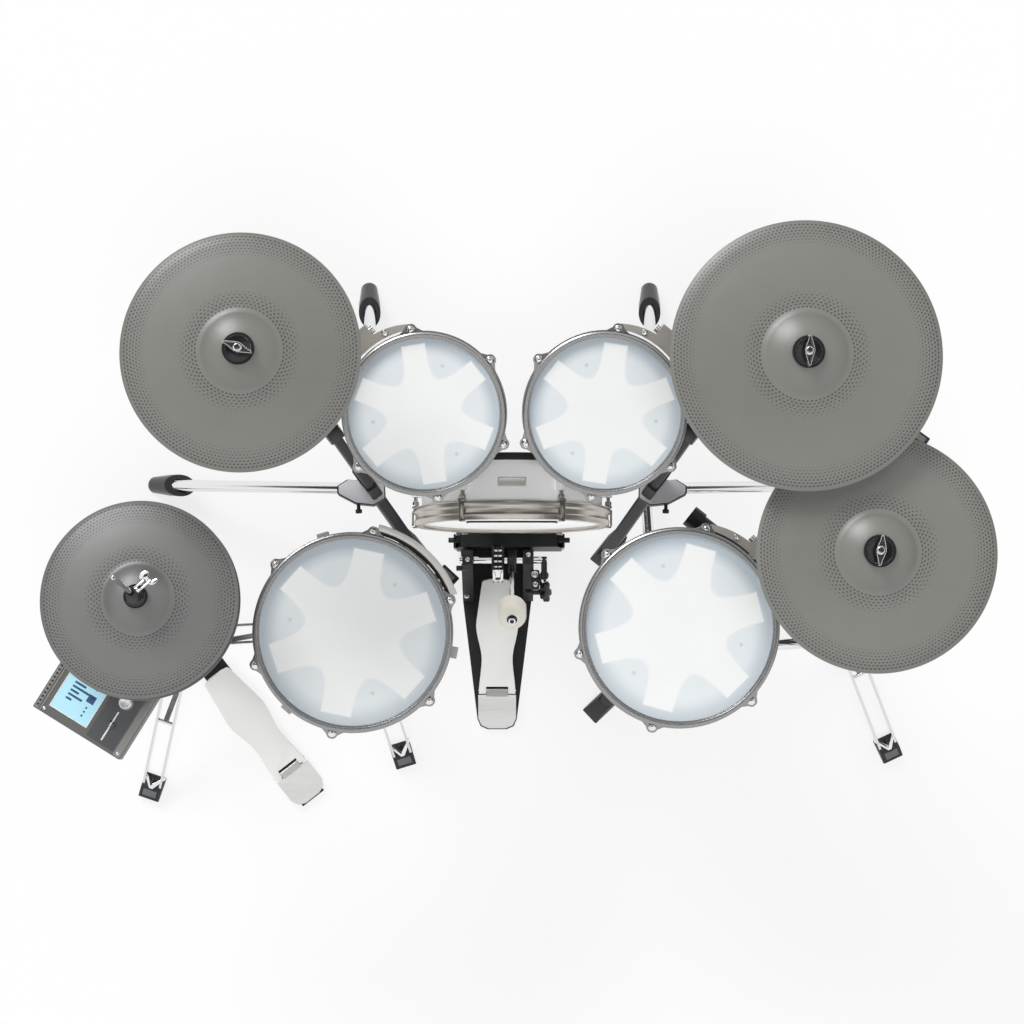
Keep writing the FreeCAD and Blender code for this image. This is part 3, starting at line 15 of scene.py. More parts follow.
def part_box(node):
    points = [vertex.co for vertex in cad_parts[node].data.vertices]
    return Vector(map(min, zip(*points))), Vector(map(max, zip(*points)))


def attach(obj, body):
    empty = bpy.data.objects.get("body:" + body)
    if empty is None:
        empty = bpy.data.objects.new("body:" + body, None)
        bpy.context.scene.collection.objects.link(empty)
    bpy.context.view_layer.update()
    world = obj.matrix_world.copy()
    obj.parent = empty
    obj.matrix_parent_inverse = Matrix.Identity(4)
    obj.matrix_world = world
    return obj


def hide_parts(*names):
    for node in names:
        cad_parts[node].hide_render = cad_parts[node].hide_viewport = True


LOG = logging.getLogger("drum_kit")
Piece = bpy.types.Object
Node = bpy.types.Node
Socket = bpy.types.NodeSocket
Point = tuple[float, float, float]
Corner = tuple[float, float]
Profile = tuple[Corner, ...]

MM = 0.001
UP = Vector((0.0, 0.0, 1.0))
SEAM = 2e-6
TOP_FACING = 0.9

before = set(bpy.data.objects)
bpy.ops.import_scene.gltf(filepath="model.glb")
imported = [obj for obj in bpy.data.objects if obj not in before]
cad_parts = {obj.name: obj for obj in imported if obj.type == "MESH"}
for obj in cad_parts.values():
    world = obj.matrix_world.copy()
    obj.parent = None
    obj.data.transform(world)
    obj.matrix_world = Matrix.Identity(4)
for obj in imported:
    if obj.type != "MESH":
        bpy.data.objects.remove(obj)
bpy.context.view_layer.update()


# The drawing board: every place below is in mm on it, with the camera over its origin.

BOARD_MARK = (-400.0, 635.0)


def board_shift() -> Vector:
    """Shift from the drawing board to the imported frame, read from the left crash's box."""
    low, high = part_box("left_crash")
    middle = (low + high) / 2
    return Vector((middle.x / MM - BOARD_MARK[0], middle.y / MM - BOARD_MARK[1], 0.0))


SHIFT = board_shift()


def mm(x: float, y: float, z: float) -> Vector:
    """Lengths in mm as a vector in metres."""
    return Vector((x, y, z)) * MM


def spot(x: float, y: float, z: float) -> Vector:
    """Place on the drawing board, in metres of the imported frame."""
    return (Vector((x, y, z)) + SHIFT) * MM


def shift(x: float, y: float, z: float) -> Matrix:
    """Move by lengths in mm."""
    return Matrix.Translation(mm(x, y, z))


def about(axis: str, degrees: float) -> Matrix:
    """Turn about one axis."""
    return Matrix.Rotation(math.radians(degrees), 4, axis)


def axes(x: Vector, y: Vector, z: Vector) -> Matrix:
    """Turn that carries the board's axes onto three others."""
    return Matrix((x, y, z)).transposed().to_4x4()


def upright(x: float, y: float, z: float, turn: float = 0.0) -> Matrix:
    """Frame at a place on the board, turned about the vertical by degrees."""
    return Matrix.Translation(spot(x, y, z)) @ about("Z", turn)


def along(start: Vector, end: Vector) -> Matrix:
    """Frame at start whose Z runs towards end."""
    return Matrix.Translation(start) @ (end - start).to_track_quat("Z", "Y").to_matrix().to_4x4()


def leaning(start: Vector, up: Vector) -> Matrix:
    """Frame at start whose Z runs along up, with its X kept over the board's X."""
    z = up.normalized()
    x = (Vector((1.0, 0.0, 0.0)) - z * z.x).normalized()
    return Matrix.Translation(start) @ axes(x, z.cross(x), z)


def polar(radius: float, degrees: float) -> Corner:
    """Flat point at a radius and heading."""
    return radius * math.cos(math.radians(degrees)), radius * math.sin(math.radians(degrees))


def offset(profile: Sequence[Corner], out: float, rise: float) -> list[Corner]:
    """Carry a profile outwards and upwards, in mm."""
    return [(r + out, z + rise) for r, z in profile]


def doubled(half: Sequence[Corner]) -> list[Corner]:
    """Half an outline with its mirror image across the first axis."""
    return list(half) + [(a, -b) for a, b in reversed(half)]


# Hand tools


def put_down() -> None:
    """Leave edit mode with nothing selected."""
    if bpy.context.mode != "OBJECT":
        bpy.ops.object.mode_set(mode="OBJECT")
    bpy.ops.object.select_all(action="DESELECT")


def take(obj: Piece) -> None:
    """Make one object the only selected and active one."""
    put_down()
    obj.select_set(True)
    bpy.context.view_layer.objects.active = obj


def open_up(obj: Piece) -> None:
    """Open a mesh for editing with all of it selected."""
    take(obj)
    bpy.ops.object.mode_set(mode="EDIT")
    pick_all()


def pick_all() -> None:
    """Select the whole mesh that is open."""
    bpy.ops.mesh.select_all(action="SELECT")


def pick(obj: Piece, test: Callable[[bpy.types.MeshPolygon], bool]) -> None:
    """Open a mesh for editing with the faces that pass a test selected.

    Args:
        obj: the mesh object.
        test: says whether a face is wanted.
    """
    open_up(obj)
    bpy.ops.mesh.select_mode(type="FACE")
    bpy.ops.mesh.select_all(action="DESELECT")
    bpy.ops.object.mode_set(mode="OBJECT")
    for face in obj.data.polygons:
        face.select = test(face)
    bpy.ops.object.mode_set(mode="EDIT")


def is_top(face: bpy.types.MeshPolygon) -> bool:
    """Say whether a face looks up."""
    return face.normal.z > TOP_FACING


def round_off(width: float, segments: int, kind: str = "EDGES") -> None:
    """Bevel the picked edges, or the corners of a drawn line, and select all again.

    Args:
        width: of the bevel, in mm.
        segments: facets across it.
        kind: EDGES or VERTICES.
    """
    bpy.ops.mesh.bevel(offset=width * MM, segments=segments, affect=kind, clamp_overlap=True)
    pick_all()


def face_out() -> None:
    """Turn all faces of the open mesh outwards."""
    pick_all()
    bpy.ops.mesh.normals_make_consistent(inside=False)


def close_seams() -> None:
    """Merge the doubles of the open mesh and turn its faces outwards."""
    pick_all()
    bpy.ops.mesh.remove_doubles(threshold=SEAM)
    face_out()


def push(rise: float) -> None:
    """Extrude what is picked along Z by a length in mm."""
    bpy.ops.mesh.extrude_region_move(TRANSFORM_OT_translate={"value": (0, 0, rise * MM)})


def sink(obj: Piece, border: float, depth: float) -> None:
    """Sink the tops of a piece inside a border, both in mm."""
    pick(obj, is_top)
    bpy.ops.mesh.inset(thickness=border * MM)
    push(-depth)
    put_down()


def shear_off(piece: Piece, through: Vector, towards: Vector) -> None:
    """Cut a piece by a plane and drop what lies on the side that the plane faces."""
    open_up(piece)
    bpy.ops.mesh.bisect(plane_co=through, plane_no=towards, use_fill=True, clear_outer=True)
    face_out()
    put_down()


def christen(name: str) -> Piece:
    """Name the active object and its mesh, and leave edit mode."""
    obj = bpy.context.active_object
    put_down()
    obj.name = name
    obj.data.name = name
    return obj


def settle(obj: Piece, place: Matrix) -> Piece:
    """Carry a piece to its place and apply the move to its mesh."""
    take(obj)
    obj.matrix_world = place @ obj.matrix_world
    bpy.ops.object.transform_apply(location=True, rotation=True, scale=True)
    put_down()
    return obj


def copied(obj: Piece, name: str, place: Matrix) -> Piece:
    """Copy a piece, with a mesh of its own, to another place."""
    twin = obj.copy()
    twin.data = obj.data.copy()
    twin.name = name
    twin.data.name = name
    bpy.context.scene.collection.objects.link(twin)
    return settle(twin, place)


def repeated(obj: Piece, name: str, places: Sequence[Matrix]) -> Piece:
    """Copy a piece to many places, drop the pattern piece and join the copies."""
    twins = [copied(obj, f"{name}_{k}", place) for k, place in enumerate(places)]
    bpy.data.objects.remove(obj)
    return joined(name, twins)


def joined(name: str, pieces: Sequence[Piece]) -> Piece:
    """Join several pieces into one object."""
    put_down()
    for piece in pieces:
        piece.select_set(True)
    bpy.context.view_layer.objects.active = pieces[0]
    if len(pieces) > 1:
        bpy.ops.object.join()
    return christen(name)


def draw_wire(corners: Sequence[Vector], closed: bool) -> None:
    """Start a mesh as one vertex and extrude it along corners given in metres; stays in edit mode."""
    put_down()
    bpy.ops.mesh.primitive_plane_add(size=MM, enter_editmode=True)
    bpy.ops.mesh.select_mode(type="VERT")
    pick_all()
    bpy.ops.mesh.merge(type="CENTER")
    bpy.ops.transform.translate(value=corners[0])
    route = list(corners) + ([corners[0]] if closed else [])
    for before, after in zip(route, route[1:]):
        bpy.ops.mesh.extrude_vertices_move(TRANSFORM_OT_translate={"value": after - before})
    pick_all()
    if closed:
        bpy.ops.mesh.remove_doubles(threshold=SEAM)
        pick_all()


def turned(name: str, profile: Sequence[Corner], steps: int = 96, ease: float = 0.0,
           closed: bool = False) -> Piece:
    """Turn a piece about Z: draw half its section, round the corners, spin it.

    Args:
        name: the new piece's name.
        profile: (radius, height) corners in mm.
        steps: facets round the turn.
        ease: rounding of the corners in mm.
        closed: whether the section closes on itself, as a ring's does.

    Returns:
        The turned piece at the origin.
    """
    draw_wire([mm(r, 0.0, z) for r, z in profile], closed)
    if ease:
        round_off(ease, 3, "VERTICES")
    bpy.ops.mesh.spin(steps=steps, angle=math.tau, center=(0, 0, 0), axis=(0, 0, 1))
    close_seams()
    return christen(name)


def plate(name: str, outline: Sequence[Corner], low: float, high: float, ease: float = 0.6,
          corner: float = 0.0) -> Piece:
    """Cut a flat plate: draw its outline, round its corners, fill, extrude and ease the rims.

    Args:
        name: the new piece's name.
        outline: (x, y) corners in mm.
        low: height of the underside in mm.
        high: height of the top in mm.
        ease: bevel of the rims in mm.
        corner: rounding of the outline's corners in mm.

    Returns:
        The plate at the origin.
    """
    draw_wire([mm(x, y, low) for x, y in outline], True)
    if corner:
        round_off(corner, 4, "VERTICES")
    bpy.ops.mesh.edge_face_add()
    push(high - low)
    face_out()
    piece = christen(name)
    if ease:
        pick(piece, lambda face: abs(face.normal.z) > TOP_FACING)
        round_off(ease, 2)
    put_down()
    return piece


def bar(name: str, start: Vector, end: Vector, radius: float, ease: float = 1.0, sides: int = 32) -> Piece:
    """Round bar between two places in metres, with eased ends.

    Args:
        name: the new piece's name.
        start: one end in metres.
        end: the other end in metres.
        radius: radius in mm.
        ease: bevel of the ends in mm.
        sides: facets round the bar.

    Returns:
        The bar in place.
    """
    put_down()
    turn = (end - start).to_track_quat("Z", "Y").to_euler()
    bpy.ops.mesh.primitive_cylinder_add(vertices=sides, radius=radius * MM, depth=(end - start).length,
                                        location=(start + end) / 2, rotation=turn)
    piece = christen(name)
    pick(piece, lambda face: len(face.vertices) > 4)
    round_off(ease, 3)
    return settle(piece, Matrix.Identity(4))


def block(name: str, size: Point, middle: Point = (0.0, 0.0, 0.0), ease: float = 1.0,
          segments: int = 2) -> Piece:
    """Rectangular block with eased edges, sizes and middle in mm.

    Args:
        name: the new piece's name.
        size: lengths along X, Y and Z.
        middle: where its middle lies.
        ease: bevel of every edge.
        segments: facets across the bevel.

    Returns:
        The block.
    """
    put_down()
    bpy.ops.mesh.primitive_cube_add(size=1.0, location=mm(*middle), scale=mm(*size))
    bpy.ops.object.transform_apply(location=True, rotation=True, scale=True)
    open_up(bpy.context.active_object)
    round_off(ease, segments)
    return christen(name)


def wire_rod(name: str, points: Sequence[Vector], radius: float, bend: float) -> Piece:
    """Bent round rod: draw its line, round the corners, then thicken it.

    Args:
        name: the new piece's name.
        points: the corners of its line in metres.
        radius: radius in mm.
        bend: rounding of the corners in mm.

    Returns:
        The rod as a mesh.
    """
    draw_wire(points, False)
    round_off(bend, 6, "VERTICES")
    take(christen(name))
    bpy.ops.object.convert(target="CURVE")
    line = bpy.context.active_object.data
    line.bevel_depth = radius * MM
    line.bevel_resolution = 4
    line.use_fill_caps = True
    bpy.ops.object.convert(target="MESH")
    bpy.ops.object.mode_set(mode="EDIT")
    close_seams()
    return christen(name)


def arc_bar(name: str, section: Sequence[Corner], start: float, sweep: float, steps: int = 40) -> Piece:
    """Curved bar: draw and fill a section, then spin it part of the way round Z.

    Args:
        name: the new piece's name.
        section: (radius, height) corners in mm.
        start: heading of its first end in degrees.
        sweep: degrees that it runs on.
        steps: facets along the bar.

    Returns:
        The bar at the origin.
    """
    draw_wire([mm(r, 0.0, z) for r, z in section], True)
    round_off(0.9, 2, "VERTICES")
    bpy.ops.mesh.edge_face_add()
    bpy.ops.mesh.spin(steps=steps, angle=math.radians(sweep), center=(0, 0, 0), axis=(0, 0, 1))
    close_seams()
    return settle(christen(name), about("Z", start + sweep))


def bolt(name: str, at: Vector, radius: float, tall: float) -> Piece:
    """Upright cap bolt with a washer and a sunk drive.

    Args:
        name: the new piece's name.
        at: where the washer lies, in metres.
        radius: radius of the washer in mm.
        tall: height of the head in mm.

    Returns:
        The bolt in place.
    """
    cap = radius * 0.78
    piece = turned(name, [(0, -1), (radius, -1), (radius, tall * 0.3), (cap, tall * 0.36), (cap, tall * 0.85),
                          (cap * 0.85, tall), (cap * 0.5, tall), (cap * 0.42, tall * 0.5), (0, tall * 0.5)],
                   24, 0.25)
    return settle(piece, along(at, at + UP))


# Finishes


def linear(code: str) -> tuple[float, float, float, float]:
    """Colour of a hex code as the shader's linear values."""
    values = [int(code[k:k + 2], 16) / 255 for k in (1, 3, 5)]
    return (*[v / 12.92 if v <= 0.04045 else ((v + 0.055) / 1.055) ** 2.4 for v in values], 1.0)


class Pen:
    """Draws nodes and links in one node tree."""

    def __init__(self, tree: bpy.types.NodeTree) -> None:
        """Keep the tree to draw in."""
        self.tree = tree

    def join(self, source: Socket, target: Socket) -> None:
        """Link two sockets."""
        self.tree.links.new(source, target)

    def feed(self, socket: Socket, value: object) -> None:
        """Set a socket's value, or link it where the value is a socket."""
        if isinstance(value, bpy.types.NodeSocket):
            self.join(value, socket)
        else:
            socket.default_value = value

    def math(self, operation: str, *values: object) -> Socket:
        """Math node of one operation on values or sockets."""
        node = self.tree.nodes.new("ShaderNodeMath")
        node.operation = operation
        for socket, value in zip(node.inputs, values):
            self.feed(socket, value)
        return node.outputs[0]

    def add(self, first: object, second: object) -> Socket:
        """Sum of two values."""
        return self.math("ADD", first, second)

    def less(self, first: object, second: object) -> Socket:
        """First value less the second."""
        return self.math("SUBTRACT", first, second)

    def times(self, first: object, second: object) -> Socket:
        """Product of two values."""
        return self.math("MULTIPLY", first, second)

    def over(self, first: object, second: object) -> Socket:
        """First value over the second."""
        return self.math("DIVIDE", first, second)

    def most(self, first: object, second: object) -> Socket:
        """Larger of two values."""
        return self.math("MAXIMUM", first, second)

    def least(self, first: object, second: object) -> Socket:
        """Smaller of two values."""
        return self.math("MINIMUM", first, second)

    def length(self, x: Socket, y: Socket) -> Socket:
        """Length of a flat vector."""
        return self.math("SQRT", self.add(self.times(x, x), self.times(y, y)))

    def flat(self, vector: Socket) -> tuple[Socket, Socket]:
        """First two parts of a vector."""
        split = self.tree.nodes.new("ShaderNodeSeparateXYZ")
        self.join(vector, split.inputs[0])
        return split.outputs[0], split.outputs[1]

    def noise(self, vector: Socket, scale: object, detail: float) -> Socket:
        """Noise value on a vector."""
        node = self.tree.nodes.new("ShaderNodeTexNoise")
        self.join(vector, node.inputs["Vector"])
        self.feed(node.inputs["Scale"], scale)
        node.inputs["Detail"].default_value = detail
        return node.outputs[0]

    def mix(self, share: object, first: object, second: object, blend: str = "MIX") -> Socket:
        """Colour mix of two colours or sockets."""
        node = self.tree.nodes.new("ShaderNodeMix")
        node.data_type = "RGBA"
        node.blend_type = blend
        self.feed(node.inputs[0], share)
        self.feed(node.inputs[6], first)
        self.feed(node.inputs[7], second)
        return node.outputs[2]

    def mapping(self, kind: str) -> Node:
        """Mapping node of one kind on the object's coordinates."""
        coords = self.tree.nodes.new("ShaderNodeTexCoord")
        node = self.tree.nodes.new("ShaderNodeMapping")
        node.vector_type = kind
        self.join(coords.outputs["Object"], node.inputs["Vector"])
        return node

    def place(self, origin: Point, lean: float = 0.0) -> Socket:
        """Object coordinates measured from an origin, in axes leaned about X by degrees."""
        node = self.mapping("TEXTURE")
        node.inputs["Location"].default_value = origin
        node.inputs["Rotation"].default_value = (math.radians(lean), 0.0, 0.0)
        return node.outputs[0]

    def stretched(self, scale: Point) -> Socket:
        """Object coordinates stretched along the axes."""
        node = self.mapping("POINT")
        node.inputs["Scale"].default_value = scale
        return node.outputs[0]

    def ramp(self, value: Socket, low: float, high: float) -> Socket:
        """Smooth step of a value between two limits, from 0 to 1."""
        node = self.tree.nodes.new("ShaderNodeMapRange")
        node.interpolation_type = "SMOOTHSTEP"
        self.join(value, node.inputs["Value"])
        node.inputs["From Min"].default_value = low
        node.inputs["From Max"].default_value = high
        return node.outputs[0]

    def group(self, tree: bpy.types.NodeTree, vector: Socket, **values: float) -> Node:
        """Place a shared group on a vector, with its values by name."""
        node = self.tree.nodes.new("ShaderNodeGroup")
        node.node_tree = tree
        self.join(vector, node.inputs["Vector"])
        for label, value in values.items():
            node.inputs[label].default_value = value
        return node

    def relief(self, shader: Node, height: Socket, strength: float, deep: float, sunk: bool = False) -> None:
        """Raise or sink a shader's surface, on top of any relief that it has.

        Args:
            shader: the material's shader.
            height: mask of the relief.
            strength: how strongly it shows.
            deep: its depth in mm.
            sunk: whether the mask goes in.
        """
        bump = self.tree.nodes.new("ShaderNodeBump")
        bump.invert = sunk
        bump.inputs["Strength"].default_value = strength
        bump.inputs["Distance"].default_value = deep * MM
        self.join(height, bump.inputs["Height"])
        for link in list(shader.inputs["Normal"].links):
            self.join(link.from_socket, bump.inputs["Normal"])
        self.join(bump.outputs["Normal"], shader.inputs["Normal"])


@dataclass(frozen=True)
class Detail:
    """Fine surface of a finish: noise sizes per metre and how strongly they show."""

    grain: float
    cloud: float
    relief: float
    mottle: float
    smear: float
    stretch: Point = (1.0, 1.0, 1.0)


class Surface(Enum):
    """Named fine surfaces."""

    MOULDED = Detail(1500.0, 18.0, 0.10, 0.10, 0.12)
    CAST = Detail(650.0, 12.0, 0.22, 0.12, 0.10)
    BRUSHED = Detail(900.0, 9.0, 0.06, 0.10, 0.14, (1.0, 0.03, 1.0))
    CROSS_BRUSHED = Detail(900.0, 9.0, 0.06, 0.12, 0.14, (0.03, 1.0, 1.0))
    HEEL_BRUSHED = Detail(900.0, 34.0, 0.06, 0.70, 0.14, (0.03, 1.0, 1.0))
    POLISHED = Detail(120.0, 10.0, 0.0, 0.04, 0.05)
    FELTED = Detail(2600.0, 60.0, 0.22, 0.16, 0.05)
    RUBBER = Detail(2000.0, 25.0, 0.16, 0.16, 0.14)


class Groups:
    """Shader groups that several finishes share, each drawn once."""

    FINE_SHARE = 0.45
    DIMPLE_FADE = 0.3
    DIMPLE_SOFT = 0.10

    @staticmethod
    def start(name: str, inputs: Sequence[str],
              outputs: Sequence[str]) -> tuple[Pen, bpy.types.NodeOutputs, bpy.types.NodeInputs]:
        """Open a new group on a vector, with named value sockets.

        Args:
            name: the group's name.
            inputs: names of the value inputs.
            outputs: names of the value outputs.

        Returns:
            A pen in the group, the sockets that it is given and those that it puts out.
        """
        tree = bpy.data.node_groups.new(name, "ShaderNodeTree")
        tree.interface.new_socket("Vector", in_out="INPUT", socket_type="NodeSocketVector")
        for labels, way in ((inputs, "INPUT"), (outputs, "OUTPUT")):
            for label in labels:
                tree.interface.new_socket(label, in_out=way, socket_type="NodeSocketFloat")
        return Pen(tree), tree.nodes.new("NodeGroupInput").outputs, tree.nodes.new("NodeGroupOutput").inputs

    @classmethod
    def surface(cls) -> bpy.types.NodeTree:
        """Cloudy shade, uneven gloss and fine relief from two noises."""
        found = bpy.data.node_groups.get("fine_surface")
        if found:
            return found
        pen, given, out = cls.start("fine_surface", ("Grain", "Cloud", "Mottle", "Smear", "Roughness"),
                                    ("Shade", "Gloss", "Height"))
        fine = pen.noise(given["Vector"], given["Grain"], 3.0)
        broad = pen.noise(given["Vector"], given["Cloud"], 4.0)
        mixed = pen.add(pen.times(fine, cls.FINE_SHARE), pen.times(broad, 1.0 - cls.FINE_SHARE))
        swing = pen.less(mixed, 0.5)
        pen.join(pen.add(pen.times(swing, given["Mottle"]), 1.0), out["Shade"])
        pen.join(pen.add(pen.times(swing, given["Smear"]), given["Roughness"]), out["Gloss"])
        pen.join(fine, out["Height"])
        return pen.tree

    @classmethod
    def dimples(cls) -> bpy.types.NodeTree:
        """Ring of staggered dimples that shrink with every row, on a vector centred on the ring."""
        found = bpy.data.node_groups.get("dimple_ring")
        if found:
            return found
        pen, given, out = cls.start("dimple_ring", ("Start", "Row", "Count", "Rows", "Size"), ("Dimple",))
        x, y = pen.flat(given["Vector"])
        step = pen.over(pen.less(pen.length(x, y), given["Start"]), given["Row"])
        row = pen.math("FLOOR", step)
        turn = pen.times(pen.over(pen.math("ARCTAN2", y, x), math.tau), given["Count"])
        across = pen.less(pen.math("FRACT", pen.add(turn, pen.times(row, 0.5))), 0.5)
        down = pen.less(pen.math("FRACT", step), 0.5)
        left = pen.less(1.0, pen.over(pen.add(row, 0.5), given["Rows"]))
        inside = pen.times(pen.math("GREATER_THAN", step, 0.0), pen.math("GREATER_THAN", left, 0.0))
        edge = pen.times(pen.math("POWER", pen.most(left, 0.0), cls.DIMPLE_FADE), given["Size"])
        mark = pen.over(pen.less(edge, pen.length(across, down)), cls.DIMPLE_SOFT)
        pen.join(pen.times(pen.least(pen.most(mark, 0.0), 1.0), inside), out["Dimple"])
        return pen.tree


@dataclass(frozen=True)
class Finish:
    """A surface finish and the material that shows it."""

    name: str
    colour: str
    roughness: float
    metallic: float = 0.0
    surface: Surface = Surface.MOULDED
    coat: float = 0.0
    sheen: float = 0.0
    # glow is emission: the screen's own light, and painted glow on the heads
    glow: float = 0.0
    grain_depth: float = 0.4

    def material(self) -> bpy.types.Material:
        """Give this finish's material, made the first time it is asked for."""
        label = f"{self.name}_finish"
        found = bpy.data.materials.get(label)
        if found:
            return found
        made = bpy.data.materials.new(label)
        made.use_nodes = True
        self.fill(Pen(made.node_tree), made.node_tree.nodes["Principled BSDF"])
        return made

    def fill(self, pen: Pen, shader: Node) -> None:
        """Draw the nodes of the plain finish."""
        shader.inputs["Metallic"].default_value = self.metallic
        shader.inputs["Coat Weight"].default_value = self.coat
        shader.inputs["Sheen Weight"].default_value = self.sheen
        self.colour_in(pen, shader, pen.mix(1.0, linear(self.colour), self.texture(pen, shader), "MULTIPLY"))

    def colour_in(self, pen: Pen, shader: Node, face: Socket) -> None:
        """Link a colour to the shader, and to its glow where the finish has one."""
        pen.join(face, shader.inputs["Base Color"])
        if self.glow:
            pen.join(face, shader.inputs["Emission Color"])
            shader.inputs["Emission Strength"].default_value = self.glow

    def texture(self, pen: Pen, shader: Node) -> Socket:
        """Draw the fine surface and link its gloss and relief.

        Args:
            pen: draws in the material's tree.
            shader: the material's shader.

        Returns:
            The shade that the base colour is multiplied by.
        """
        detail = self.surface.value
        node = pen.group(Groups.surface(), pen.stretched(detail.stretch), Grain=detail.grain,
                         Cloud=detail.cloud, Mottle=detail.mottle, Smear=detail.smear,
                         Roughness=self.roughness)
        pen.join(node.outputs["Gloss"], shader.inputs["Roughness"])
        if detail.relief:
            pen.relief(shader, node.outputs["Height"], detail.relief, self.grain_depth)
        return node.outputs["Shade"]


@dataclass(frozen=True)
class Dimples:
    """One ring of dimples: gap to the rim it starts from, row width, pitch in mm and rows."""

    gap: float
    row: float
    pitch: float
    rows: float
    size: float = 0.37

    def draw(self, pen: Pen, vector: Socket, rim: float, way: float) -> Socket:
        """Place the ring.

        Args:
            pen: draws in the material's tree.
            vector: coordinates centred on the cymbal.
            rim: radius in mm that the ring starts from.
            way: 1 where the rows run outwards, -1 where they run inwards.

        Returns:
            The ring's mask.
        """
        count = float(round(rim * math.tau / self.pitch))
        node = pen.group(Groups.dimples(), vector, Start=(rim + way * self.gap) * MM, Row=way * self.row * MM,
                         Count=count, Rows=self.rows, Size=self.size)
        return node.outputs["Dimple"]


@dataclass(frozen=True)
class DimpledFinish(Finish):
    """Pad-cymbal rubber with one ring of dimples at the edge and one round the bell."""

    centre: Point = (0.0, 0.0, 0.0)
    radius: float = 178.0
    bell: float = 61.0
    dark: str = "#403e3b"
    dark_share: float = 0.9
    shine: float = 0.75
    dimple_relief: Corner = (0.5, 0.8)
    edge_ring: Dimples = Dimples(4.5, 4.5, 6.4, 7.0)
    bell_ring: Dimples = Dimples(2.5, 4.4, 5.8, 6.0)

    def fill(self, pen: Pen, shader: Node) -> None:
        """Draw the rubber, its dimples and their relief."""
        shader.inputs["Specular IOR Level"].default_value = self.shine
        base = pen.mix(1.0, linear(self.colour), self.texture(pen, shader), "MULTIPLY")
        vector = pen.place(self.centre)
        both = pen.most(self.edge_ring.draw(pen, vector, self.radius, -1.0),
                        self.bell_ring.draw(pen, vector, self.bell, 1.0))
        self.colour_in(pen, shader, pen.mix(pen.times(both, self.dark_share), base, linear(self.dark)))
        pen.relief(shader, both, *self.dimple_relief, sunk=True)


@dataclass(frozen=True)
class HeadFinish(Finish):
    """Translucent head with the six-armed plate showing through it, a faint painted glow, and painted shade
    that darkens the gaps towards the rim and away from the drummer.
    """

    # painted glow: a faint emission that lightens the head, standing in for light coming through the film
    glow: float = 0.06
    centre: Point = (0.0, 0.0, 0.0)
    lean: float = 0.0
    arms: int = 6
    first_arm: float = 0.0
    half_arm: float = 27.0
    reach: float = 130.0
    rim: float = 148.0
    blend: float = 3.5
    side_soft: Corner = (2.2, 1.4)
    tip_soft: float = 1.6
    # gap_light is the gaps' own tone; the second colour is the painted shade that they darken to
    gap_light: str = "#e2e7ea"
    gap_painted_shade: str = "#b8c2c9"
    # where, how strongly and with what slant the painted shade darkens the gaps
    rim_band: Corner = (0.76, 1.02)
    rim_shade: float = 0.8
    rim_slant: float = 0.5
    shade_slant: float = 0.12
    dot_colour: str = "#8f9aa2"
    dot_share: float = 0.35
    dot_at: float = 0.69
    dot_soft: Corner = (1.0, 4.5)
    dot_turn: float = 30.0

    def fill(self, pen: Pen, shader: Node) -> None:
        """Draw the plate's star, the gaps with painted shade that darkens them towards the rim, and the
        weave.
        """
        shade = self.texture(pen, shader)
        x, y = pen.flat(pen.place(self.centre, self.lean))
        far = pen.length(x, y)
        # painted shade: the gaps darken towards the rim and a little away from the drummer
        tone = pen.mix(self.rim_painted_shade(pen, y, far), linear(self.gap_light), linear(self.gap_painted_shade))
        tone = pen.mix(pen.times(self.dots(pen, x, y), self.dot_share), tone, linear(self.dot_colour))
        face = pen.mix(self.gaps(pen, pen.math("ARCTAN2", y, x), far), linear(self.colour), tone)
        self.colour_in(pen, shader, pen.mix(1.0, face, shade, "MULTIPLY"))

    def gaps(self, pen: Pen, heading: Socket, far: Socket) -> Socket:
        """Mask of what lies off the plate's arms, with rounded corners between them."""
        sector = math.tau / self.arms
        turn = pen.less(heading, math.radians(self.first_arm))
        turn = pen.times(pen.math("FRACT", pen.add(pen.over(turn, sector), float(self.arms))), sector)
        rest = pen.less(sector, turn)
        near, other = (pen.times(far, pen.math("SINE", angle)) for angle in (turn, rest))
        clear = pen.math("SMOOTH_MIN", near, other, self.blend * self.half_arm * MM)
        inward, outward = self.side_soft
        gap = pen.ramp(clear, (self.half_arm - inward) * MM, (self.half_arm + outward) * MM)
        tip = pen.times(far, pen.math("COSINE", pen.least(turn, rest)))
        end = pen.ramp(tip, (self.reach - self.tip_soft) * MM, (self.reach + self.tip_soft) * MM)
        return pen.most(gap, end)

    def rim_painted_shade(self, pen: Pen, y: Socket, far: Socket) -> Socket:
        """Painted shade on a gap: darker at the rim, and a little darker away from the drummer."""
        shade_slant = pen.ramp(y, -self.rim * MM, self.rim * MM)
        start, end = self.rim_band
        rim = pen.ramp(far, self.rim * start * MM, self.rim * end * MM)
        edge = pen.times(rim, pen.add(pen.times(shade_slant, self.rim_slant), self.rim_shade))
        return pen.least(pen.add(edge, pen.times(shade_slant, self.shade_slant)), 1.0)

    def dots(self, pen: Pen, x: Socket, y: Socket) -> Socket:
        """Mask of the three posts that show faintly in every second gap."""
        marks = []
        for k in range(self.arms // 2):
            at_x, at_y = polar(self.dot_at * self.rim, self.first_arm + self.dot_turn + 720.0 / self.arms * k)
            away = pen.length(pen.less(x, at_x * MM), pen.less(y, at_y * MM))
            marks.append(pen.less(1.0, pen.ramp(away, *(soft * MM for soft in self.dot_soft))))
        return pen.most(pen.most(marks[0], marks[1]), marks[2])


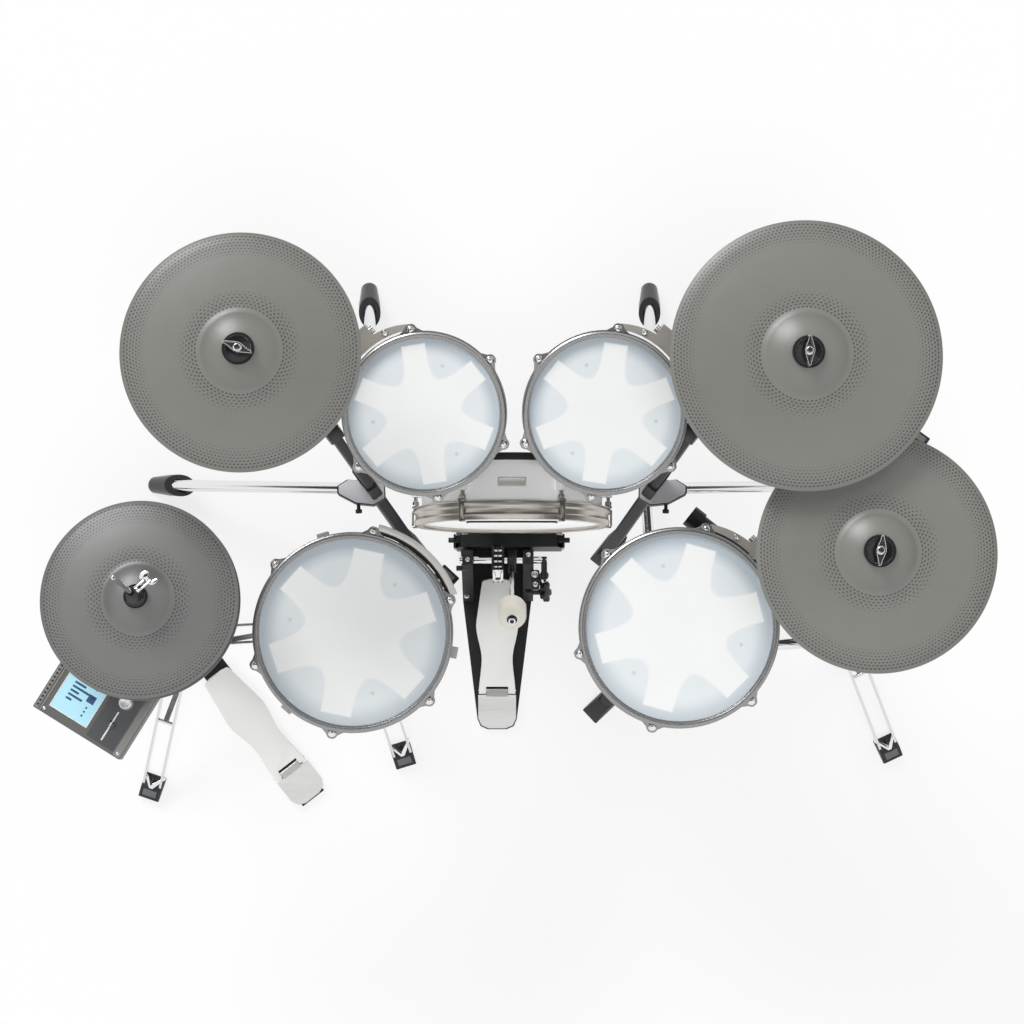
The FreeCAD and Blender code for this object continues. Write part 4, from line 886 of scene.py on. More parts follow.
CHROME = Finish("chrome", "#e9e9ea", 0.09, 1.0, Surface.POLISHED)
DARK_CHROME = Finish("dark_chrome", "#57575a", 0.14, 1.0, Surface.POLISHED)
NICKEL = Finish("satin_nickel", "#c3beb8", 0.30, 1.0, Surface.POLISHED)
HOOP_GREY = Finish("hoop_grey", "#9b9b9b", 0.24, 0.85, Surface.POLISHED)
CHAMPAGNE = Finish("champagne_metal", "#cfc9c1", 0.30, 0.85, Surface.POLISHED)
BRACKET_BROWN = Finish("bracket_brown", "#aaa59e", 0.36, 0.4, Surface.BRUSHED)
BRACKET_SILVER = Finish("bracket_silver", "#d9d7d3", 0.32, 0.5, Surface.CROSS_BRUSHED)
SHELL_BLACK = Finish("shell_black", "#1f2022", 0.38, coat=0.15)
BLACK_COAT = Finish("black_coat", "#1a1b1d", 0.48, surface=Surface.CAST)
BLACK_PLASTIC = Finish("black_plastic", "#1e1f21", 0.50)
BLACK_GLOSS = Finish("black_gloss", "#121214", 0.24, coat=0.3)
SHELL_SILVER = Finish("shell_silver", "#f9f9f9", 0.42, surface=Surface.CROSS_BRUSHED)
# painted glow: the head's emission lightens it where the toms and the pedal shade it
BASS_HEAD = Finish("bass_head_white_painted_glow", "#f4f4f4", 0.60, glow=0.48)
PLATE_WHITE = Finish("plate_white", "#f4f4f3", 0.60)
ALUMINIUM = Finish("satin_aluminium", "#f4f4f1", 0.42, 0.40, Surface.CAST)
LEG_STEEL = Finish("leg_steel", "#dcdcde", 0.18, 1.0, Surface.POLISHED)
HEEL_METAL = Finish("brushed_heel_metal", "#d6d6d5", 0.30, 0.7, Surface.HEEL_BRUSHED)
BOOT_RUBBER = Finish("boot_rubber", "#2d2e31", 0.30, surface=Surface.RUBBER, coat=0.3)
RUBBER_BLACK = Finish("foot_rubber", "#262729", 0.60, surface=Surface.RUBBER)
BAND_GREY = Finish("foot_band", "#6c6d70", 0.55, surface=Surface.RUBBER)
BLOCK_GREY = Finish("block_grey", "#c2c0c5", 0.48, surface=Surface.CAST)
FELT_CREAM = Finish("felt_cream", "#fdf7ea", 0.95, surface=Surface.FELTED, sheen=0.3)
FELT_BLACK = Finish("felt_black", "#1a1a1c", 0.92, surface=Surface.FELTED, sheen=0.15)
MODULE_GREY = Finish("module_grey", "#686866", 0.46, 0.20, Surface.BRUSHED)
MODULE_DARK = Finish("module_dark", "#4f5153", 0.44, 0.15, Surface.BRUSHED)
MODULE_TRIM = Finish("module_trim", "#8b8b88", 0.36, 0.45, Surface.BRUSHED)
SCREEN_BLUE = Finish("screen_blue", "#a9d7e6", 0.22, coat=0.3, glow=0.30)
SCREEN_INK = Finish("screen_ink", "#33527e", 0.30)
GRIP_GREY = Finish("grip_grey", "#bdbdba", 0.55, surface=Surface.RUBBER)
LIGHT_STRIP = Finish("light_strip", "#f6f6f4", 0.35)
KNOB_SILVER = Finish("knob_silver", "#f4f4f4", 0.26, 0.5, Surface.POLISHED)

PLAIN: dict[str, Finish] = {
    "left_post": BLACK_COAT, "right_post": BLACK_COAT, "floor_post": BLACK_COAT, "rack_legs": CHROME,
    "tom_arms": CHROME, "cymbal_rods": CHROME, "crash_stand_tube": BLACK_COAT,
    "snare_stand_tube": BLACK_COAT, "snare_basket": GRIP_GREY, "tripod_legs": LEG_STEEL,
    "hihat_tube": BLACK_COAT, "pedal_bases": BLACK_COAT, "pedal_heel_plates": HEEL_METAL,
    "kick_spring": CHROME, "module_arm": BLACK_COAT,
}


def paint(obj: Piece, finish: Finish) -> None:
    """Give a mesh one finish all over."""
    obj.data.materials.clear()
    obj.data.materials.append(finish.material())


def show(obj: Piece, body: str, finish: Finish, stands_for: Sequence[str] = (),
         angle: float = 38.0) -> Piece:
    """Finish a piece: smooth it, give it its material and hang it on its body.

    Args:
        obj: the piece, in place.
        body: the body it rides on.
        finish: its finish.
        stands_for: solids that it replaces.
        angle: edges sharper than this stay sharp.

    Returns:
        The piece.
    """
    take(obj)
    bpy.ops.object.shade_smooth_by_angle(angle=math.radians(angle))
    put_down()
    paint(obj, finish)
    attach(obj, body)
    if stands_for:
        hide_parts(*stands_for)
    LOG.info("%s rides on %s", obj.name, body)
    return obj


def dress(node: str, finish: Finish) -> None:
    """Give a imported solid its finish."""
    paint(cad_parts[node], finish)
    LOG.info("%s keeps its solid", node)


# Sub-assemblies


class Part(Protocol):
    """A sub-assembly that can be built."""

    def build(self) -> None:
        """Model and dress its pieces."""


@dataclass(frozen=True)
class Lamp:
    """Sun lamp: strength, turns about X and Y and softness in degrees, and whether metal mirrors it."""

    name: str
    energy: float
    pitch: float
    roll: float
    soft: float
    mirrored: bool


@dataclass
class Studio:
    eye_height: float = 5800.0
    tilt: float = 4.73
    lens: float = 116.0
    sensor: float = 36.0
    view_end: float = 100.0
    floor_size: float = 60.0
    floor_colour: Point = (0.96, 0.96, 0.955)
    floor_glow: float = 0.76
    sky: float = 0.36
    lamps: tuple[Lamp, ...] = (Lamp("key", 1.50, -40.0, -30.0, 26.0, True),
                               Lamp("fill", 1.18, 13.0, 2.0, 22.0, False))
    card_tone: float = 0.02
    flag_at: Point = (0.0, 850.0, 6700.0)
    flag_size: Corner = (3.4, 2.2)
    band_r: float = 4500.0
    band_t: float = 20.0
    band_low: float = 300.0
    band_high: float = 3000.0
    band_from: float = -20.0
    band_sweep: float = 220.0

    def build(self) -> None:
        """Set up camera, light and floor."""
        self.camera()
        self.light()
        self.floor()
        self.cards()
        bpy.context.scene.view_settings.view_transform = "Standard"

    def camera(self) -> None:
        """Camera high over the drummer's place, looking down and a little forward."""
        data = bpy.data.cameras.new("camera")
        data.lens = self.lens
        data.sensor_width = self.sensor
        data.clip_end = self.view_end
        eye = bpy.data.objects.new("camera", data)
        eye.location = spot(0.0, 0.0, self.eye_height)
        eye.rotation_euler = (math.radians(self.tilt), 0.0, 0.0)
        bpy.context.scene.collection.objects.link(eye)
        bpy.context.scene.camera = eye

    def light(self) -> None:
        """Even sky, white where it is seen, a broad key from behind on the left and a fill from above."""
        world = bpy.data.worlds.new("studio")
        bpy.context.scene.world = world
        world.use_nodes = True
        pen = Pen(world.node_tree)
        back = world.node_tree.nodes["Background"]
        back.inputs["Color"].default_value = (1.0, 1.0, 1.0, 1.0)
        pen.join(pen.most(self.seen(pen), self.sky), back.inputs["Strength"])
        for lamp in self.lamps:
            data = bpy.data.lights.new(lamp.name, "SUN")
            data.energy = lamp.energy
            data.angle = math.radians(lamp.soft)
            sun = bpy.data.objects.new(lamp.name, data)
            sun.rotation_euler = (math.radians(lamp.pitch), math.radians(lamp.roll), 0.0)
            sun.visible_glossy = lamp.mirrored
            bpy.context.scene.collection.objects.link(sun)

    @staticmethod
    def seen(pen: Pen) -> Socket:
        """One for camera, glossy and transmission rays, else zero."""
        path = pen.tree.nodes.new("ShaderNodeLightPath").outputs
        return pen.most(pen.most(path["Is Camera Ray"], path["Is Glossy Ray"]), path["Is Transmission Ray"])

    def cards(self) -> None:
        made = bpy.data.materials.new("studio_card")
        made.use_nodes = True
        shader = made.node_tree.nodes["Principled BSDF"]
        shader.inputs["Base Color"].default_value = (self.card_tone, self.card_tone, self.card_tone, 1.0)
        put_down()
        bpy.ops.mesh.primitive_plane_add(size=1.0, location=spot(*self.flag_at))
        bpy.ops.transform.resize(value=(*self.flag_size, 1.0))
        flag = christen("studio_flag")
        near, far = self.band_r, self.band_r + self.band_t
        section = [(near, self.band_low), (far, self.band_low), (far, self.band_high), (near, self.band_high)]
        band = arc_bar("studio_band", section, self.band_from, self.band_sweep)
        for card in (flag, band):
            card.data.materials.append(made)
            card.visible_camera = False
            card.visible_diffuse = False
            card.visible_shadow = False
            card.visible_transmission = False

    def floor(self) -> None:
        """Wide white floor that keeps a light shadow."""
        put_down()
        bpy.ops.mesh.primitive_plane_add(size=self.floor_size)
        ground = christen("studio_floor")
        made = bpy.data.materials.new("studio_floor")
        made.use_nodes = True
        nodes = made.node_tree.nodes
        pen = Pen(made.node_tree)
        shader = nodes["Principled BSDF"]
        shader.inputs["Base Color"].default_value = (*self.floor_colour, 1.0)
        shader.inputs["Roughness"].default_value = 0.9
        shader.inputs["Specular IOR Level"].default_value = 0.0
        glow = nodes.new("ShaderNodeEmission")
        blend = nodes.new("ShaderNodeMixShader")
        pen.join(pen.times(self.seen(pen), self.floor_glow), blend.inputs[0])
        pen.join(shader.outputs[0], blend.inputs[1])
        pen.join(glow.outputs[0], blend.inputs[2])
        pen.join(blend.outputs[0], nodes["Material Output"].inputs["Surface"])
        ground.data.materials.append(made)


@dataclass
class Pad:
    """Drum pad: shell with lug casings, hoop, head, trigger plate, bracket and tension rods."""

    name: str
    at: Point
    lean: float
    hoop_r: float
    depth: float
    first_lug: float
    bracket: float
    half_arm: float
    reach: float
    arm: bool = True
    dot_turn: float = 30.0
    head_colour: str = "#eff0f0"
    lugs: int = 6
    wall: float = 6.0
    floor_t: float = 4.0
    shell_foot: Profile = ((-4.0, 0.0), (0.0, 3.0), (0.0, 8.0), (-1.2, 9.5), (0.0, 11.0))
    hoop_width: float = 13.0
    hoop_rise: float = 10.0
    hoop_drop: float = 12.0
    hoop_roll: Profile = ((-1.5, -5.0), (-1.5, -1.5), (-4.5, 0.0))
    sheet: float = 2.5
    fit: float = 0.2
    ring_width: float = 3.5
    ring_height: float = 7.0
    head_t: float = 1.5
    ear: Profile = ((-3.0, 21.0), (0.5, 15.5), (5.0, 9.5), (9.5, 6.8), (12.0, 3.2))
    ear_lift: float = 0.8
    lug_out: float = 15.5
    lug_r: float = 7.0
    lug_top: float = 30.0
    lug_tall: float = 34.0
    lug_nose: Corner = (2.0, 3.0)
    rod_r: float = 3.0
    rod_in: float = 4.0
    rod_head: Profile = ((6.8, 0.0), (6.8, 1.4), (5.6, 2.0), (5.6, 4.6), (4.2, 6.2), (0.0, 6.4))
    drive: Point = (6.0, 6.0, 9.0)
    bar_section: Profile = ((6.0, -18.0), (17.0, -18.0), (17.0, -13.0), (15.0, -11.8), (6.0, -11.8))
    bar_span: float = 56.0
    web_section: Profile = ((1.0, -48.0), (12.0, -48.0), (12.0, -19.0), (1.0, -19.0))
    web_span: float = 54.0
    screw: Profile = ((0.0, -6.0), (3.0, -6.0), (3.0, 0.0), (5.5, 0.0), (5.5, 2.6), (4.2, 3.8), (2.4, 4.0),
                      (2.0, 2.4), (0.0, 2.4))
    screw_out: float = 10.5
    screw_turn: float = 13.0

    def build(self) -> None:
        """Model and dress every piece of the pad."""
        self.base = Matrix.Translation(spot(*self.at)) @ about("X", self.lean)
        self.shell_r = self.hoop_r - self.hoop_width
        self.ear_top = self.sheet - self.hoop_drop + self.ear_lift
        self.shell()
        self.head()
        self.hoop()
        self.casings()
        self.rods()
        dress(f"{self.name}_star", PLATE_WHITE)
        self.bracket_plate()

    def lug_places(self, radius: float) -> list[Matrix]:
        """Frames at the lugs, on a radius in mm."""
        turns = [self.first_lug + k * 360.0 / self.lugs for k in range(self.lugs)]
        return [self.base @ about("Z", turn) @ shift(radius, 0.0, 0.0) for turn in turns]

    def shell(self) -> None:
        """Turned shell with a bead at its foot and a floor."""
        r, low = self.shell_r, -self.depth
        inner, floor = r - self.wall, low + self.floor_t
        profile = [(0, low), *offset(self.shell_foot, r, low), (r, -self.head_t), (inner, -self.head_t),
                   (inner, floor), (0, floor)]
        piece = settle(turned(f"{self.name}_shell_turned", profile, 128), self.base)
        show(piece, self.name, SHELL_BLACK, [f"{self.name}_shell"])

    def head(self) -> None:
        """Head film with its flesh ring."""
        inner = self.shell_r + self.fit
        outer = inner + self.ring_width
        low = -self.head_t - self.ring_height
        profile = [(0, 0), (outer - 1, 0), (outer, -1), (outer, low), (inner, low), (inner, -self.head_t),
                   (0, -self.head_t)]
        piece = settle(turned(f"{self.name}_head_film", profile, 144), self.base)
        finish = HeadFinish(f"{self.name}_film", self.head_colour, 0.50, centre=tuple(spot(*self.at)),
                            lean=self.lean, first_arm=self.first_lug, half_arm=self.half_arm,
                            reach=self.reach, rim=self.shell_r, dot_turn=self.dot_turn)
        show(piece, self.name, finish, [f"{self.name}_head"])

    def hoop(self) -> None:
        """Rolled hoop with six ears."""
        ring_out = self.shell_r + self.fit + self.ring_width
        inner = ring_out + self.fit
        outer = inner + self.sheet
        lip = ring_out - self.sheet
        r, drop, top = self.hoop_r, self.hoop_drop, self.hoop_rise
        step = self.sheet - drop
        profile = [(lip, 0), (inner, 0), (inner, -drop), (r, -drop), (r, step), (outer, step),
                   (outer, top - 4.5), *offset(self.hoop_roll, r, top), (inner + 0.5, top),
                   (inner - 0.5, top - 1.2), (inner - 0.5, self.sheet), (lip, self.sheet)]
        ring = settle(turned(f"{self.name}_hoop_ring", profile, 160, 0.6, True), self.base)
        ear = plate("ear", doubled(offset(self.ear, r, 0.0)), -drop, self.ear_top, 0.9, 0.6)
        ears = repeated(ear, f"{self.name}_ears", self.lug_places(0.0))
        whole = joined(f"{self.name}_hoop_rolled", [ring, ears])
        show(whole, self.name, HOOP_GREY, [f"{self.name}_hoop"])

    def casings(self) -> None:
        """Lug casings on the shell's side."""
        r, top = self.lug_r, -self.lug_top
        low = top - self.lug_tall
        nose, ease = self.lug_nose
        profile = [(0, low), (r - nose, low), (r, low + ease), (r, top - ease), (r - nose, top), (0, top)]
        barrel = turned("barrel", profile, 32, 0.8)
        web = block("web", (self.lug_out + 2, r * 1.4, self.lug_tall - 4),
                    (-self.lug_out / 2, 0, low + self.lug_tall / 2), 1.2)
        casing = joined("casing", [barrel, web])
        piece = repeated(casing, f"{self.name}_casings", self.lug_places(self.shell_r + self.lug_out))
        show(piece, self.name, NICKEL)

    def rods(self) -> None:
        """Chrome tension rods with washers and square drives, one through each ear."""
        seat, end = self.ear_top, -self.lug_top - self.rod_in
        shank = turned("shank", [(0, end), (self.rod_r, end), (self.rod_r, seat),
                                 *offset(self.rod_head, 0.0, seat)], 28, 0.5)
        drive = block("drive", self.drive, (0, 0, seat + self.drive[2]), 0.8)
        rod = joined("rod", [shank, drive])
        piece = repeated(rod, f"{self.name}_tension_rods", self.lug_places(self.shell_r + self.lug_out))
        show(piece, self.name, CHROME)

    def bracket_plate(self) -> None:
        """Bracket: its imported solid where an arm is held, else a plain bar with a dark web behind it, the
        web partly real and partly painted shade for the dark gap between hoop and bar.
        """
        node = f"{self.name}_bracket"
        if self.arm:
            dress(node, BRACKET_BROWN)
            self.bracket_screws()
            return
        rail = arc_bar(f"{node}_bar", offset(self.bar_section, self.hoop_r, 0.0),
                       self.bracket - self.bar_span / 2, self.bar_span)
        # the dark web is partly real and partly painted shade: it fills the gap between hoop and bar that
        # shows dark
        web = arc_bar(f"{node}_web", offset(self.web_section, self.hoop_r, 0.0),
                      self.bracket - self.web_span / 2, self.web_span)
        show(settle(rail, self.base), self.name, BRACKET_SILVER, [node])
        show(settle(web, self.base), self.name, SHELL_BLACK)

    def bracket_screws(self) -> None:
        """Two cap screws on the bracket's plate."""
        screw = turned("screw", offset(self.screw, 0.0, -self.hoop_drop - self.fit), 28, 0.3)
        places = [self.base @ about("Z", self.bracket + turn) @ shift(self.hoop_r + self.screw_out, 0.0, 0.0)
                  for turn in (-self.screw_turn, self.screw_turn)]
        show(repeated(screw, f"{self.name}_bracket_screws", places), self.name, CHROME)


@dataclass
class Cymbal:
    """Pad cymbal: dished disc with a bell, underside of its edge at Z = 0 of its own frame."""

    name: str
    body: str
    place: Matrix
    radius: float
    bell: float
    thickness: float = 4.0
    edge: float = 2.0
    bow_rise: float = 15.0
    bow_swell: float = 2.5
    bell_rise: float = 19.0
    hole: float = 6.0
    bell_steps: int = 9
    bow_steps: int = 14
    flipped: bool = False
    colour: str = "#787873"

    def dome(self, r: float) -> float:
        """Height of the bell's underside at a radius."""
        ball = (self.bell ** 2 + self.bell_rise ** 2) / (2 * self.bell_rise)
        return self.bow_rise + self.bell_rise - ball + math.sqrt(ball ** 2 - r ** 2)

    def bow(self, r: float) -> float:
        """Height of the bow's underside at a radius."""
        share = (r - self.bell) / (self.radius - self.bell)
        return self.bow_rise * (1 - share) + 4 * self.bow_swell * share * (1 - share)

    def under(self, r: float) -> float:
        """Height of the underside at a radius."""
        return self.dome(r) if r < self.bell else self.bow(r)

    def build(self) -> None:
        """Turn the cymbal and dress it."""
        wide, across = self.bell - self.hole, self.radius - self.bell
        rims = [self.hole + wide * k / self.bell_steps for k in range(self.bell_steps + 1)]
        rims += [self.bell + across * k / self.bow_steps for k in range(1, self.bow_steps)]
        bottom = [(r, self.under(r)) for r in rims]
        top = [(r, self.under(r) + self.thickness) for r in reversed(rims)]
        nose = offset(((-1.2, 0.1), (0.0, 0.7), (0.0, self.edge - 0.6), (-1.4, self.edge + 0.25)),
                      self.radius, 0.0)
        piece = turned(f"{self.name}_disc", bottom + nose + top, 192, 0.0, True)
        settle(piece, self.place @ about("X", 180.0) if self.flipped else self.place)
        finish = DimpledFinish(f"{self.name}_rubber", self.colour, 0.34, surface=Surface.RUBBER,
                               centre=tuple(self.place.translation), radius=self.radius, bell=self.bell)
        show(piece, self.body, finish, [self.name], angle=50.0)


@dataclass
class CymbalSeat:
    """Felts, cup and wing nut on one cymbal's rod, every profile from its own underside up."""

    name: str
    at: Point
    wing: float
    felt_at: float = 38.6
    felt: Profile = ((3.7, 0.0), (6.0, 0.0), (23.0, 2.2), (24.0, 3.4), (24.0, 5.4), (22.4, 7.0), (3.7, 7.0))
    under_at: float = 23.0
    under: Profile = ((3.7, 0.0), (12.0, 0.0), (13.0, 1.0), (13.0, 7.0), (6.0, 9.6), (3.7, 9.6))
    cup_at: float = 45.6
    cup: Profile = ((3.7, 0.0), (20.5, 0.0), (20.5, 1.2), (19.6, 2.0), (18.6, 1.4), (18.0, 0.8), (3.7, 0.8))
    nut_at: float = 46.6
    collar: Profile = ((3.7, 0.0), (7.8, 0.0), (7.4, 4.0), (5.6, 13.0), (5.0, 13.6), (3.7, 13.6))
    wing_low: float = 2.0
    wing_top: float = 12.0
    wing_half: Profile = ((2.0, 7.6), (8.0, 5.4), (15.0, 2.6), (21.5, 1.0), (23.0, -0.8), (22.0, -3.2),
                          (16.0, -4.6), (8.0, -6.6), (3.0, -7.6))
    wing_border: float = 1.7
    wing_sunk: float = 3.0

    def build(self) -> None:
        """Model the soft washers, the cup and the wing nut."""
        place = upright(*self.at)
        upper = turned("upper", offset(self.felt, 0.0, self.felt_at), 72, 0.5, True)
        under = turned("under", offset(self.under, 0.0, self.under_at), 48, 0.4, True)
        felts = settle(joined(f"{self.name}_felts", [upper, under]), place)
        show(felts, "stands", FELT_BLACK, ["cymbal_felts"])
        cup = turned(f"{self.name}_nut_cup", offset(self.cup, 0.0, self.cup_at), 72, 0.2, True)
        show(settle(cup, place), "stands", BLACK_GLOSS)
        self.nut(place @ about("Z", self.wing))

    def nut(self, place: Matrix) -> None:
        """Wing nut with a sunk face on each wing and a collar round the rod."""
        low, top = self.nut_at + self.wing_low, self.nut_at + self.wing_top
        outline = list(self.wing_half) + [(-x, -y) for x, y in self.wing_half]
        wings = plate("wings", outline, low, top, 0.0, 0.8)
        sink(wings, self.wing_border, self.wing_sunk)
        pick(wings, lambda face: is_top(face) and abs(face.center.z - top * MM) < 0.1 * MM)
        round_off(0.75, 3)
        ring = turned("ring", offset(self.collar, 0.0, self.nut_at), 32, 0.4, True)
        nut = settle(joined(f"{self.name}_wing_nut", [wings, ring]), place)
        show(nut, "stands", CHROME, ["cymbal_wing_nuts"], angle=30.0)


@dataclass
class HiHat:
    """Hi-hat cymbals on a leaning axis, with the clutch, its wing screw and the pull rod."""

    foot: Point = (-547.0, 234.0, 0.0)
    lean: float = 4.0
    lean_heading: float = 115.0
    low_at: float = 742.0
    top_at: float = 766.0
    radius: float = 152.5
    bell: float = 54.0
    apex: float = 34.0
    thickness: float = 4.0
    rod_r: float = 3.5
    rod_low: float = 150.0
    rod_top: float = 1035.0
    rod_tip: float = 0.8
    nut_drop: float = 12.0
    nut: Profile = ((3.5, -1.0), (9.5, 0.0), (9.5, 11.0), (4.8, 11.2), (4.8, 70.0), (3.5, 71.0))
    felt_lift: float = 0.3
    felt: Profile = ((5.0, 0.0), (17.0, 0.0), (18.5, 1.5), (18.5, 5.0), (17.0, 6.5), (5.0, 6.5))
    barrel: Profile = ((4.9, 6.5), (16.5, 6.5), (16.5, 10.0), (14.0, 11.5), (12.0, 15.5), (9.0, 20.5),
                       (8.0, 44.5), (7.0, 58.5), (4.9, 58.5))
    ring_from: float = 14.5
    ring_step: float = 9.0
    ring_bore: float = 6.5
    ring_radii: tuple[float, ...] = (13.6, 11.8, 10.4, 9.4, 8.6)
    ring: Profile = ((-1.0, 0.0), (0.0, 1.2), (-0.8, 3.4))
    ring_tall: float = 4.0
    screw_at: float = 40.0
    screw_heading: float = 41.0
    arms: Profile = ((27.0, 3.6), (35.0, -3.6))
    arm_from: float = 6.0
    arm_r: float = 1.9
    boss: Point = (5.0, 12.0, 6.0)
    neck: Point = (6.0, 17.0, 3.4)
    neck_at: float = 31.0
    lobes: tuple[tuple[float, float, float, float], ...] = ((31.5, 9.0, 8.5, 5.6), (36.5, -8.8, 7.0, 3.4))
    lobe_steps: int = 18
    lobe_t: Corner = (-2.0, 2.2)
    colour: str = "#70706f"

    def build(self) -> None:
        """Turn both cymbals, then the rod and clutch."""
        tilt = Vector((*polar(math.tan(math.radians(self.lean)), self.lean_heading), 1.0))
        self.base = leaning(spot(*self.foot), tilt)
        self.felt_at = self.top_at + self.apex + self.thickness + self.felt_lift
        for name, body, height, flipped in (("hihat_top_cymbal", "hihat_top", self.top_at, False),
                                            ("hihat_bottom_cymbal", "stands", self.low_at, True)):
            place = self.base @ shift(0.0, 0.0, height)
            Cymbal(name, body, place, self.radius, self.bell, flipped=flipped, colour=self.colour).build()
        self.rod()
        self.clutch()
        self.screw()

    def rod(self) -> None:
        """Pull rod, with the nut under the top cymbal."""
        r, top, tip = self.rod_r, self.rod_top, self.rod_tip
        nut = offset(self.nut, 0.0, self.top_at + self.apex - self.nut_drop)
        profile = [(0, self.rod_low), (r, self.rod_low), *nut, (r, top - tip), (r - tip, top), (0, top)]
        piece = turned("hihat_rod", profile, 32, 0.2)
        show(settle(piece, self.base), "hihat_top", CHROME, ["hihat_pull_rod"])

    def clutch(self) -> None:
        """Felt, black barrel and the bright rings stacked on it."""
        felt = turned("hihat_clutch_felt", offset(self.felt, 0.0, self.felt_at), 64, 0.5, True)
        show(settle(felt, self.base), "hihat_top", FELT_BLACK)
        barrel = turned("hihat_clutch_barrel", offset(self.barrel, 0.0, self.felt_at), 64, 0.6, True)
        show(settle(barrel, self.base), "hihat_top", BLACK_GLOSS)
        rings = []
        for k, wide in enumerate(self.ring_radii):
            z = self.felt_at + self.ring_from + self.ring_step * k
            section = [(self.ring_bore, z), *offset(self.ring, wide, z), (self.ring_bore, z + self.ring_tall)]
            rings.append(turned("ring", section, 48, 0.4, True))
        show(settle(joined("hihat_clutch_rings", rings), self.base), "hihat_top", DARK_CHROME)

    def screw(self) -> None:
        """Wing screw through the clutch: two thin arms with unlike lobes."""
        z = self.felt_at + self.screw_at
        arms = [bar("arm", mm(self.arm_from, y, z), mm(reach, y, z), self.arm_r) for reach, y in self.arms]
        start, end, r = self.boss
        collar = bar("collar", mm(start, 0, z), mm(end, 0, z), r)
        circle = [polar(1.0, 360.0 / self.lobe_steps * k) for k in range(self.lobe_steps)]
        low, high = (z + rise for rise in self.lobe_t)
        lobes = [plate("lobe", [(x + half_x * a, y + half_y * b) for a, b in circle], low, high, 1.0)
                 for x, y, half_x, half_y in self.lobes]
        neck = block("neck", self.neck, (self.neck_at, 0.0, z), 1.2)
        piece = joined("hihat_wing_screw", [collar, neck, *arms, *lobes])
        show(settle(piece, self.base @ about("Z", self.screw_heading)), "hihat_top", CHROME)


@dataclass
class Footboard:
    """Waisted pedal board with a notch for the heel plate's tongue."""

    name: str
    body: str
    hinge: Point
    heading: float
    length: float
    rise: float
    basis: float = 197.0
    thickness: float = 6.0
    heel: float = 32.0
    waist: float = 27.0
    belly: float = 36.5
    toe: float = 25.0
    waist_at: float = 57.0
    belly_at: float = 118.0
    back: float = 6.0
    notch: float = 19.0
    notch_deep: float = 7.0
    curve_steps: int = 8

    def build(self) -> None:
        """Cut the board and lay it on its hinge."""
        half = self.thickness / 2
        board = plate(f"{self.name}_cut", self.outline(), -half, half, 1.1)
        settle(board, upright(*self.hinge, self.heading - 90.0) @ about("X", self.rise))
        show(board, self.body, ALUMINIUM, [self.name])

    def outline(self) -> list[Corner]:
        """Corners of the board, waisted by two easing curves, from the notch round by the toe."""
        share = self.length / self.basis
        belly_at = self.belly_at * share
        rows = [(-self.back, self.heel), (self.waist_at * share, self.waist), (belly_at, self.belly)]
        side: list[Corner] = []
        for (low, wide), (high, next_wide) in zip(rows, rows[1:]):
            for k in range(self.curve_steps):
                t = k / self.curve_steps
                ease = t * t * (3 - 2 * t)
                side.append((wide + (next_wide - wide) * ease, low + (high - low) * t))
        side += [(self.belly, belly_at), (self.belly - 0.8, belly_at + 8), (self.toe + 1.2, self.length - 3)]
        crown = [(self.toe - 1, self.length + 0.5), (self.toe * 0.5, self.length + 3.5)]
        right = [(self.notch, self.notch_deep), (self.notch, -self.back)] + side + crown
        return right + [(-x, y) for x, y in reversed(right)]


